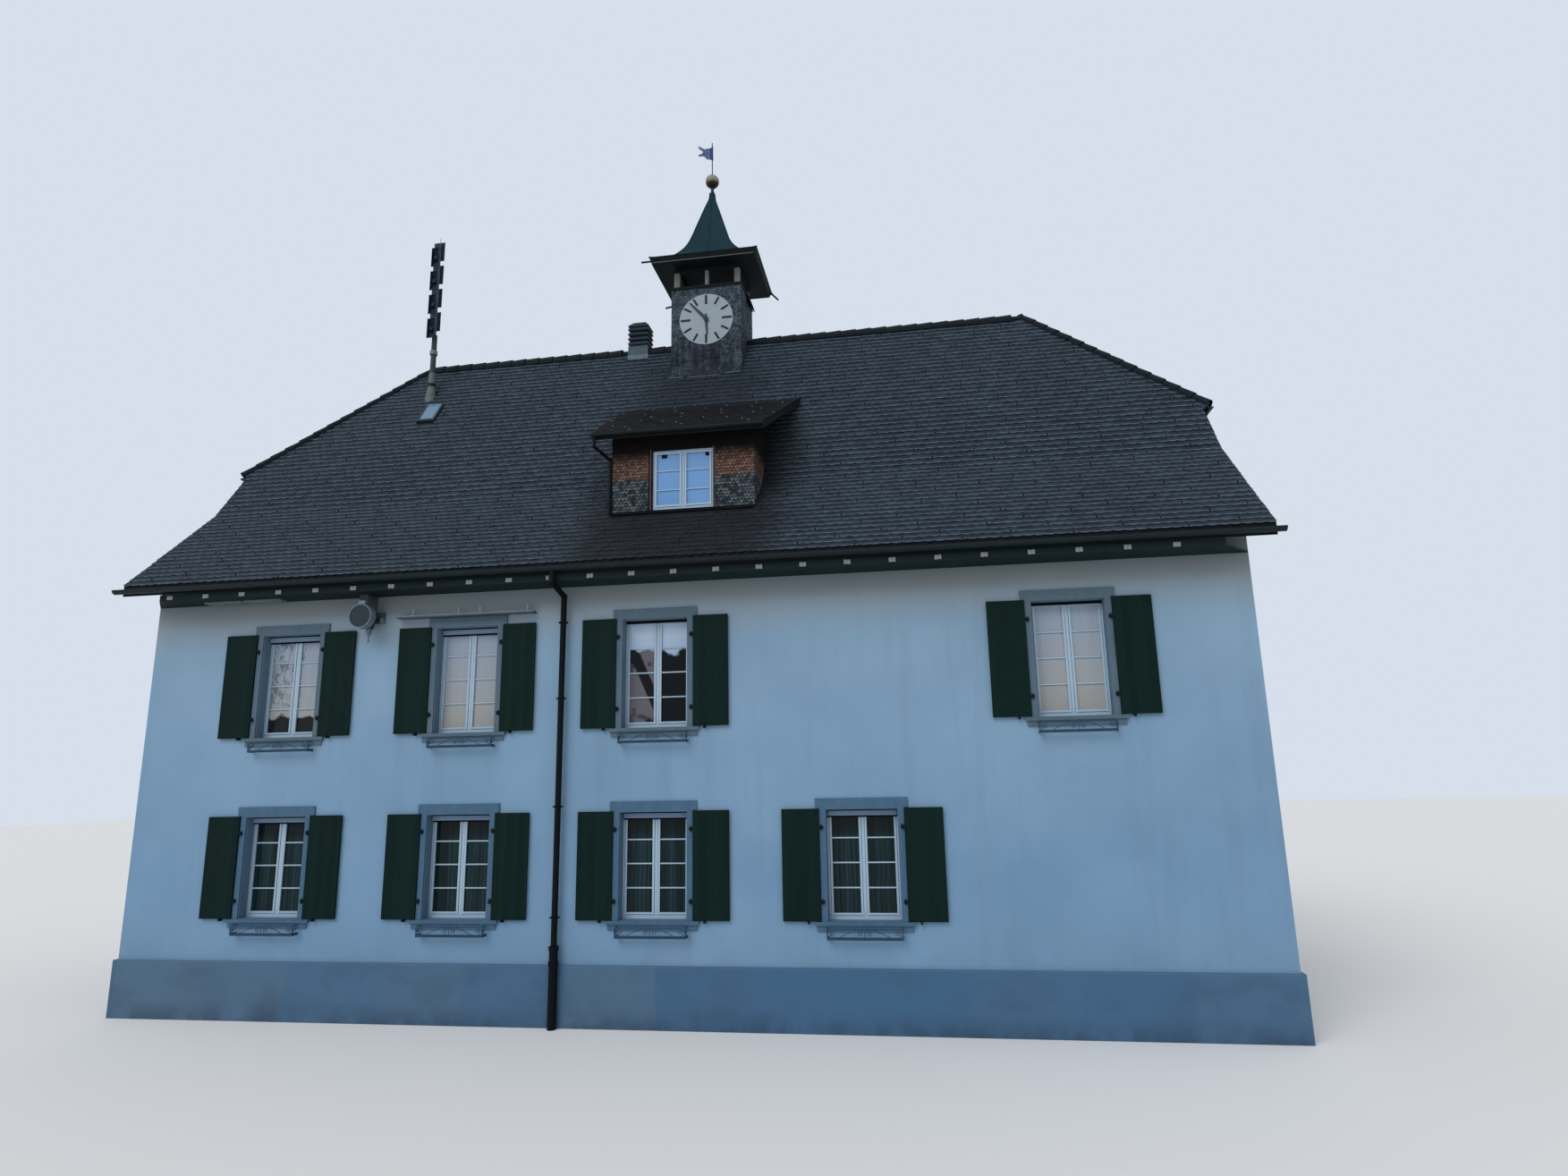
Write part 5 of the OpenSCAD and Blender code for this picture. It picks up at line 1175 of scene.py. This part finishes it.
lay_blocks("gutter_metal", "shutter_irons", iron_seats, black_iron, 33, 0.2)
lay_blocks("gutter_metal", "shutter_catches", catch_seats, black_iron, 34, 0.2)
# black for the painted shadow strips and for dark sheet metal
slot_black = weathered_metal("slot_black", (8, 12, 16), (16, 20, 24), 0.7)
lay_blocks("gutter_metal", "blind_slots", slot_seats, slot_black, 35, 0.05)

# %% [markdown]
# The flower rails under the sills carry wrought scrolls: two mirrored spirals at the middle, a slanting bar on each
# side and a small curl at each end. A spiral is a circle whose radius shrinks as it turns.

# %% Rail scrolls
rail_out, rail_top, rail_foot, curl_end = 0.143, -0.1, -0.21, 0.012


def spiral(middle_a, middle_b, first_r, start, turns, steps=22):
    points = []
    for k in range(steps + 1):
        share = k / steps
        angle = start + turns * 2 * math.pi * share
        r = first_r + (curl_end - first_r) * share
        points.append((middle_a + r * math.cos(angle), middle_b + r * math.sin(angle)))
    return points


half_scroll = [
    [(0.02, rail_top)] + spiral(0.066, -0.155, 0.046, math.pi * 0.75, -1.35),
    [(0.125, rail_top), (0.2, -0.128), (0.28, -0.158), (0.38, rail_foot)],
    [(0.555, rail_foot)] + spiral(0.5, -0.153, 0.044, -math.pi * 0.3, 1.3),
]
end_curl = [(0.13, rail_foot)] + spiral(0.075, -0.16, 0.042, -math.pi * 0.3, 1.2, 14)
rail_paths = []
for word, along, foot, high in large_windows:
    out = wall_out[word] + rail_out
    rail_paths.append([on_side(word, along, out, foot + z) for z in (rail_top, rail_foot)])
    for mirror in (-1, 1):
        for path in half_scroll:
            rail_paths.append([on_side(word, along + mirror * a, out, foot + z) for a, z in path])
        rail_paths.append([on_side(word, along + mirror * 0.578, wall_out[word] + a, foot + z) for a, z in end_curl])
trace("wrought_iron", "rail_scrolls", rail_paths, 0.0055)

# %% [markdown]
# The boxed eaves end at the wall's corners with a slanting cut, and only the tiles and the gutter run on to the
# verge. The solids carry the box and the barge boards a little further, so cut copies stand for them here.


# %% Cut copies of solids
def cut_copy(node_name, name, planes):
    """A merged copy of a solid with what lies beyond the planes cut away."""
    def work(shape):
        bmesh.ops.remove_doubles(shape, verts=shape.verts[:], dist=0.0001)
        cut_by(shape, planes)
        faces_out(shape)
    mesh = reshaped(frame["nodes"][node_name].data, work, bpy.data.meshes.new(name))
    show(name, mesh, finishes["eaves_paint"], node_name)


slant_in, fascia_out, board_foot = 0.5, 0.569, 7.4
cut_copy("soffits", "eave_boxes", [((end * half_long, side * half_deep, 0), (end * fascia_out, side * slant_in, 0))
                                   for end in (-1, 1) for side in (-1, 1)])
cut_copy("barge_boards", "verge_boards", [((0, 0, board_foot), (0, 0, -1))])

# %% [markdown]
# The rafters' white ends stand in a row on the fascia. They are wider than high, with a saw cut down the middle.

# %% Rafter blocks
rafter_low, rafter_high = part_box("rafter_ends")
rafter_count, rafter_pitch, rafter_first = 25, 0.72, 0.715
rafter_seats = []
for side in (-1, 1):
    for i in range(rafter_count):
        for half in (-1, 1):
            x = side * (half_long - rafter_first - i * rafter_pitch) + half * 0.028
            rafter_seats.append(((x, side * (rafter_high[1] - 0.01), rafter_low[2] + 0.036), (0, 0, 0),
                                 (0.052, 0.02, 0.072)))
lay_blocks("rafter_paint", "rafter_blocks", rafter_seats, finishes["rafter_paint"], 36, 0.1, (0.01, 0, 0),
           (0, 0, 0.003), stands_for="rafter_ends")

# %% [markdown]
# The spire's sides swing out in one soft curve, which the solid gives in straight steps. The cover follows points
# read from the photo with a spline between them and keeps the four corners sharp. Sheet seams run up the middle of
# each side and rolls along the corners.


# %% Spire cover
def ring_shell(rings, crease=35):
    """A closed shell through rings of points, capped at both ends, smooth except at real corners."""
    count = len(rings[0])
    points = [p for ring in rings for p in ring]
    faces = [tuple(range(count)), tuple(range(len(points) - count, len(points)))]
    for k in range(len(rings) - 1):
        for i in range(count):
            j = (i + 1) % count
            faces.append((k * count + i, k * count + j, (k + 1) * count + j, (k + 1) * count + i))
    mesh = reshaped(mesh_from("shell", points, faces), faces_out)
    mesh.polygons.foreach_set("use_smooth", [True] * len(mesh.polygons))
    mesh.set_sharp_from_angle(angle=math.radians(crease))
    return mesh


def softened(points, steps):
    """More points on a soft curve through the given ones."""
    more = []
    for i in range(len(points) - 1):
        a, b, c, d = (Vector(points[min(max(k, 0), len(points) - 1)]) for k in range(i - 1, i + 3))
        for k in range(steps):
            t = k / steps
            more.append(0.5 * (2 * b + (c - a) * t + (2 * a - 5 * b + 4 * c - d) * t * t
                               + (3 * b - a - 3 * c + d) * t ** 3))
    return more + [Vector(points[-1])]


def rectangle(half_w, half_d, z, x=0.0, y=0.0):
    return [(x + sx * half_w, y + sy * half_d, z) for sx, sy in ((-1, -1), (1, -1), (1, 1), (-1, 1))]


spire_foot_z, spire_rise, spire_w, spire_d, sheet = 15.514, 2.186, 1.256, 1.042, 0.03
spire_outline = (
    (1, 0), (0.83, 0.04), (0.69, 0.08), (0.6, 0.12), (0.535, 0.165), (0.467, 0.22), (0.41, 0.28),
    (0.37, 0.335), (0.338, 0.39), (0.31, 0.44), (0.285, 0.49), (0.238, 0.58), (0.19, 0.67), (0.138, 0.77),
    (0.105, 0.83), (0.076, 0.88), (0.052, 0.93), (0.042, 1))
spire_curve = [(p, q, spire_foot_z + spire_rise * q) for p, q in softened(spire_outline, 3)]
outer = [rectangle(spire_w * p, spire_d * p, z) for p, q, z in spire_curve]
inner = [rectangle(spire_w * p - sheet, spire_d * p - sheet, z) for p, q, z in spire_curve if q < 0.7]
show("spire_cover", ring_shell(inner[::-1] + outer), finishes["spire_copper"], "spire")
for name, spots, radius in (("spire_seams", ((0, -1), (0, 1), (-1, 0), (1, 0)), 0.009),
                            ("spire_corners", ((-1, -1), (-1, 1), (1, -1), (1, 1)), 0.012)):
    trace("spire_copper", name, [[(sx * spire_w * p, sy * spire_d * p, z) for p, q, z in spire_curve]
                                 for sx, sy in spots], radius)

# %% [markdown]
# The belfry's posts are slimmer than their solids. A pale moulding runs along the foot of the turret's front and back
# fascias. Light metal flashing shows in pieces where the shingled skirt meets the tiles, held by short clips.

# %% Turret trim
corner_x, corner_y, corner_post, middle_post, post_foot, post_high = 0.768, 0.608, 0.12, 0.08, 14.9, 0.4
post_seats = [((sx * (corner_x - corner_post / 2), sy * (corner_y - corner_post / 2), post_foot + post_high / 2),
               (0, 0, 0), (corner_post, corner_post, post_high)) for sx in (-1, 1) for sy in (-1, 1)]
post_seats += [((0, sy * (corner_y - middle_post / 2), post_foot + post_high / 2), (0, 0, 0),
                (middle_post, middle_post, post_high)) for sy in (-1, 1)]
lay_blocks("belfry_wood", "belfry_slim_posts", post_seats, finishes["belfry_wood"], 42, 0.05,
           stands_for="belfry_posts")
strip_pale = painted_boards("moulding_grey", (92, 98, 96), (66, 72, 72), "z", 0.5, 0.6)
lay_blocks("rafter_paint", "turret_moulding",
           [((0, side * 0.998, 15.388), (0, 0, 0), (2.34, 0.012, 0.02)) for side in (-1, 1)], strip_pale, 37)

steep_pitch, flash_above, clip_z = math.atan(steep_rise), 0.036, 12.78
flash_seats = []
for side in (-1, 1):
    turn_z = 0.0 if side < 0 else math.pi
    for x, length, y in ((-0.02, 0.76, 0.80), (0.62, 0.36, 0.765), (-0.66, 0.34, 0.79)):
        place = (x, side * (y + flash_above * math.sin(steep_pitch)),
                 roof_height(y) + flash_above * math.cos(steep_pitch))
        flash_seats.append((place, (steep_pitch, 0, turn_z), (length, 0.05, 0.006)))
    for x in (-0.66, -0.60, 0.06, 0.31):
        flash_seats.append(((x, side * (turret_y + flare(clip_z) + 0.016), clip_z), (math.pi / 2, 0, turn_z),
                            (0.014, 0.09, 0.008)))
lay_blocks("cowl_sheet", "turret_flashing", flash_seats, flashing_sheet, 38, 0.16, (0.02, 0.02, 0.02))

# %% [markdown]
# The chimney's cowl is a sheet box with four louvre slots under a hipped lid. Its rings step in and out: each louvre
# bulges a little and the slots lie deep. A skirt of sheet dresses the stack where it leaves the tiles.

# %% Chimney cowl and skirt
cowl_foot, cowl_high, cowl_half_w, cowl_half_d = 13.81, 0.5, 0.24, 0.2
cowl_steps = [(-0.02, 0.0)]
for k in range(4):
    foot = 0.02 + k * 0.12
    cowl_steps += [(-0.05, foot), (-0.004, foot + 0.012), (0.008, foot + 0.035), (-0.002, foot + 0.075),
                   (-0.05, foot + 0.085)]
cowl_steps += [(0.006, cowl_high), (0.008, cowl_high + 0.02), (-0.085, cowl_high + 0.125), (-0.09, cowl_high + 0.135)]


def round_chimney(steps):
    """Rings round the stack: (out beyond the cowl's box, height)."""
    return ring_shell([rectangle(cowl_half_w + out, cowl_half_d + out, z, chimney_x, chimney_y) for out, z in steps])


show("cowl_box", round_chimney([(out, cowl_foot + z) for out, z in cowl_steps]), finishes["cowl_sheet"],
     "chimney_cowl")
show("chimney_skirt", round_chimney([(0.012, 13.1), (0.012, 13.565), (0.002, 13.585)]), flashing_sheet)

# %% [markdown]
# The siren's mast is a pipe that steps in above a foot and a clamp and thins out between the horns. Height tells its
# paints apart: a pale foot, a black collar, a pale clamp and galvanised steel above.


# %% Siren mast
def circle_at(x, y, r, sides):
    turns = [2 * math.pi * i / sides for i in range(sides)]
    return [(x + r * math.cos(turn), y + r * math.sin(turn)) for turn in turns]


mast_x, mast_y = -6.605, -0.725
mast_profile = (
    (0.15, 12.38), (0.145, 12.5), (0.088, 12.9), (0.084, 12.935), (0.094, 12.94), (0.094, 13.01),
    (0.077, 13.015), (0.075, 13.27), (0.063, 13.28), (0.062, 13.745), (0.086, 13.75), (0.086, 13.845),
    (0.062, 13.85), (0.06, 14.25), (0.03, 14.27), (0.024, 16.4), (0.006, 16.45), (0.005, 16.82))
mast = Finish("mast_bands")
clamp = mast.z.within(13.745, 13.75) * (1 - mast.z.within(13.845, 13.85))
collar = mast.z.within(12.938, 12.942) * (1 - mast.z.within(13.008, 13.012))
mast_paint = mast.coats(
    (44, 60, 72), (mast.cloud(3, 5).within(0.4, 0.65), (64, 74, 78)),
    (1 - mast.z.within(13.27, 13.29), (96, 104, 104)),
    (mast.z.within(14.26, 14.3), (72, 92, 106)),
    (clamp, (112, 122, 124)),
    (collar, (14, 20, 26)),
    (mast.cloud(16, 5).within(0.5, 0.7) * 0.3, (36, 44, 50)))
mast_finish = mast.done(mast_paint, 0.5, 0.12, (mast.cloud(40, 3), 0.002, 0.3))
mast_rings = [[(x, y, z) for x, y in circle_at(mast_x, mast_y, r, 20)] for r, z in mast_profile]
show("mast_tube", ring_shell(mast_rings), mast_finish, "siren_mast")

# %% [markdown]
# The siren's horns are shallow pressed trumpets, four to the front and four to the back, staggered by half a step.
# Each is a shell from a small throat to a tall mouth, with a round plug inside.

# %% Siren horns
horn_half_h, horn_shell, horn_pitch, throat, throat_half = 0.243, 0.008, 0.617, 0.028, 0.05


def horn_rings(horn_x, horn_half_w, middle_z, front, mouth):
    """Rings of one horn: outside from throat to mouth, then back along the inside."""
    def ring(share, depth, less=0.0):
        w = throat_half + (horn_half_w - throat_half) * share - less
        h = throat_half + (horn_half_h - throat_half) * share - less
        y = mast_y + front * (throat + (mouth - throat) * depth)
        return [(horn_x + sx * w, y, middle_z + sz * h) for sx, sz in ((-1, -1), (1, -1), (1, 1), (-1, 1))]
    steps = [(0.0, 0.0), (0.55, 0.45), (1.0, 0.8), (1.0, 1.0)]
    inside = [ring(share, depth, horn_shell) for share, depth in steps[:0:-1]]
    return [ring(share, depth) for share, depth in steps] + inside + [ring(0.0, 0.12, horn_shell)]


horn_parts = []
for front, horn_x, half_w, mouth, top in ((-1, -6.64, 0.092, 0.15, 16.475), (1, -6.683, 0.135, 0.115, 16.76)):
    for i in range(4):
        middle_z = top - horn_half_h - i * horn_pitch
        horn_parts.append(ring_shell(horn_rings(horn_x, half_w, middle_z, front, mouth)))
        plug = ((0.03, 0.035), (0.05, mouth - 0.05), (0.056, mouth - 0.03), (0.04, mouth - 0.018))
        horn_parts.append(ring_shell([[(x, mast_y + front * at, z) for x, z in circle_at(horn_x, middle_z, r, 12)]
                                      for r, at in plug]))


def add_all(shape):
    for mesh in horn_parts:
        shape.from_mesh(mesh)


show("horn_stacks", reshaped(bpy.data.meshes.new("horn_stacks"), add_all),
     weathered_metal("horn_steel", (26, 44, 58), (16, 28, 38), 0.5), "siren_horns")

# %% [markdown]
# The dormer has thin brown boards beside its window, a dark sheet apron at its foot and two small black stays at the
# tops of the lights. Flat clips hold the long downpipes to the walls.

# %% Dormer trim and pipe clips
jamb_seats = [
    ((x, dormer_front_y - 0.008, (window_foot + window_head) / 2), (0, 0, 0),
     (0.024, 0.026, window_head - window_foot + 0.05))
    for x in (dormer_x - dormer_window_half - 0.035, dormer_x + dormer_window_half + 0.014)]
jamb_brown = painted_boards("jamb_brown", (98, 80, 76), (70, 56, 52), "x", 0.2, 0.7)
lay_blocks("dormer_shingle", "dormer_jambs", jamb_seats, jamb_brown, 39)
apron_seats = [((dormer_x, dormer_front_y - 0.016, window_foot - 0.026), (0, 0, 0),
                (2 * dormer_half + 0.02, 0.03, 0.056))]
apron_seats += [((x, dormer_front_y + 0.048, window_head - 0.105), (0, 0, 0), (0.1, 0.03, 0.06))
                for x in (-0.03, 0.795)]
lay_blocks("gutter_metal", "dormer_apron", apron_seats, slot_black, 40, 0.08)
pipe_x, pipe_y, pipe_clip = -1.595, 4.54, 0.132
clip_seats = [((-side * pipe_x, side * pipe_y, z), (0, 0, 0), (pipe_clip, 0.115, 0.03))
              for side in (-1, 1) for z in (1.68, 3.42, 5.2, 6.5)]
lay_blocks("gutter_metal", "pipe_clips", clip_seats, slot_black, 46, 0.25)

# %% [markdown]
# The clock's twelve bars are painted broader than they stand on the solid; the four quarters are longest. Around the
# dormer the snow hooks are of newer, pale metal.

# %% Dial bars and pale hooks
bar_reach, bar_front = 0.572, face_front - 0.0013
hour_bar_seats = []
for hour in range(12):
    turn = hour * math.pi / 6
    length, width = (0.205, 0.054) if hour % 3 == 0 else (0.172, 0.05)
    middle = bar_reach - length / 2
    hour_bar_seats.append(((middle * math.sin(turn), bar_front, dial_z + middle * math.cos(turn)),
                           (0, turn - math.pi / 2, 0), (length, 0.0042, width)))
bar_slate = weathered_metal("bar_slate", (34, 44, 52), (28, 36, 44), 0.5)
lay_blocks("hand_black", "hour_bars", hour_bar_seats, bar_slate, 43, 0.02)
pale_seats = [((x, y, z + 0.014), (dormer_pitch, 0, 0), (1.1, 3.0, 0.6))
              for (x, y, z), turn, size in dormer_seats[4::13]]
pale_iron = weathered_metal("pale_iron", (112, 124, 128), (70, 80, 84), 0.5)
lay("gutter_metal", "pale_hooks", pale_seats, hook(0.02, 0.02, 0.03), pale_iron, 44, hook_loose)

# %% [markdown]
# The floor and backdrop are plain and pale and take a soft shadow. The light is a wide pale sky with one large soft
# lamp from the front left, at a plain level, so that a colour renders about as it is written. What the camera and
# the reflections see of the sky is a pale blue-grey.

# %% Stage and light
far, below = 90, -0.002
floor_mesh = mesh_from("studio_floor", [(-far, -far, below), (far, -far, below), (far, far, below),
                                        (-far, far, below)], [(0, 1, 2, 3)])
floor = plain_object("studio_floor", floor_mesh)
floor_mesh.materials.append(Finish("studio_pale").done((0.80, 0.80, 0.80, 1), 0.9))
world = bpy.data.worlds.new("studio_sky")
scene.world = world
world.use_nodes = True
sky = Graph(world.node_tree)
path = sky.put("ShaderNodeLightPath").socket.node.outputs
seen = Wire(sky, path["Is Camera Ray"]) + Wire(sky, path["Is Glossy Ray"]) + Wire(sky, path["Is Transmission Ray"])
sky_tone = sky.put("ShaderNodeMix", {"data_type": "RGBA"},
                   {0: seen.within(0.0, 1.0), 6: (0.583, 0.601, 0.62, 1), 7: screen(214, 223, 235)}, out=2)
sky.feed(world.node_tree.nodes["Background"].inputs["Color"], sky_tone)
lamp_data = bpy.data.lights.new("soft_front", "SUN")
lamp_data.energy = 1.3
lamp_data.angle = math.radians(40)
lamp = plain_object("soft_front", lamp_data)
lamp.rotation_euler = (math.radians(48), 0, math.radians(-24))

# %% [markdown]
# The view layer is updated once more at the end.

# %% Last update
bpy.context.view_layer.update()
import json
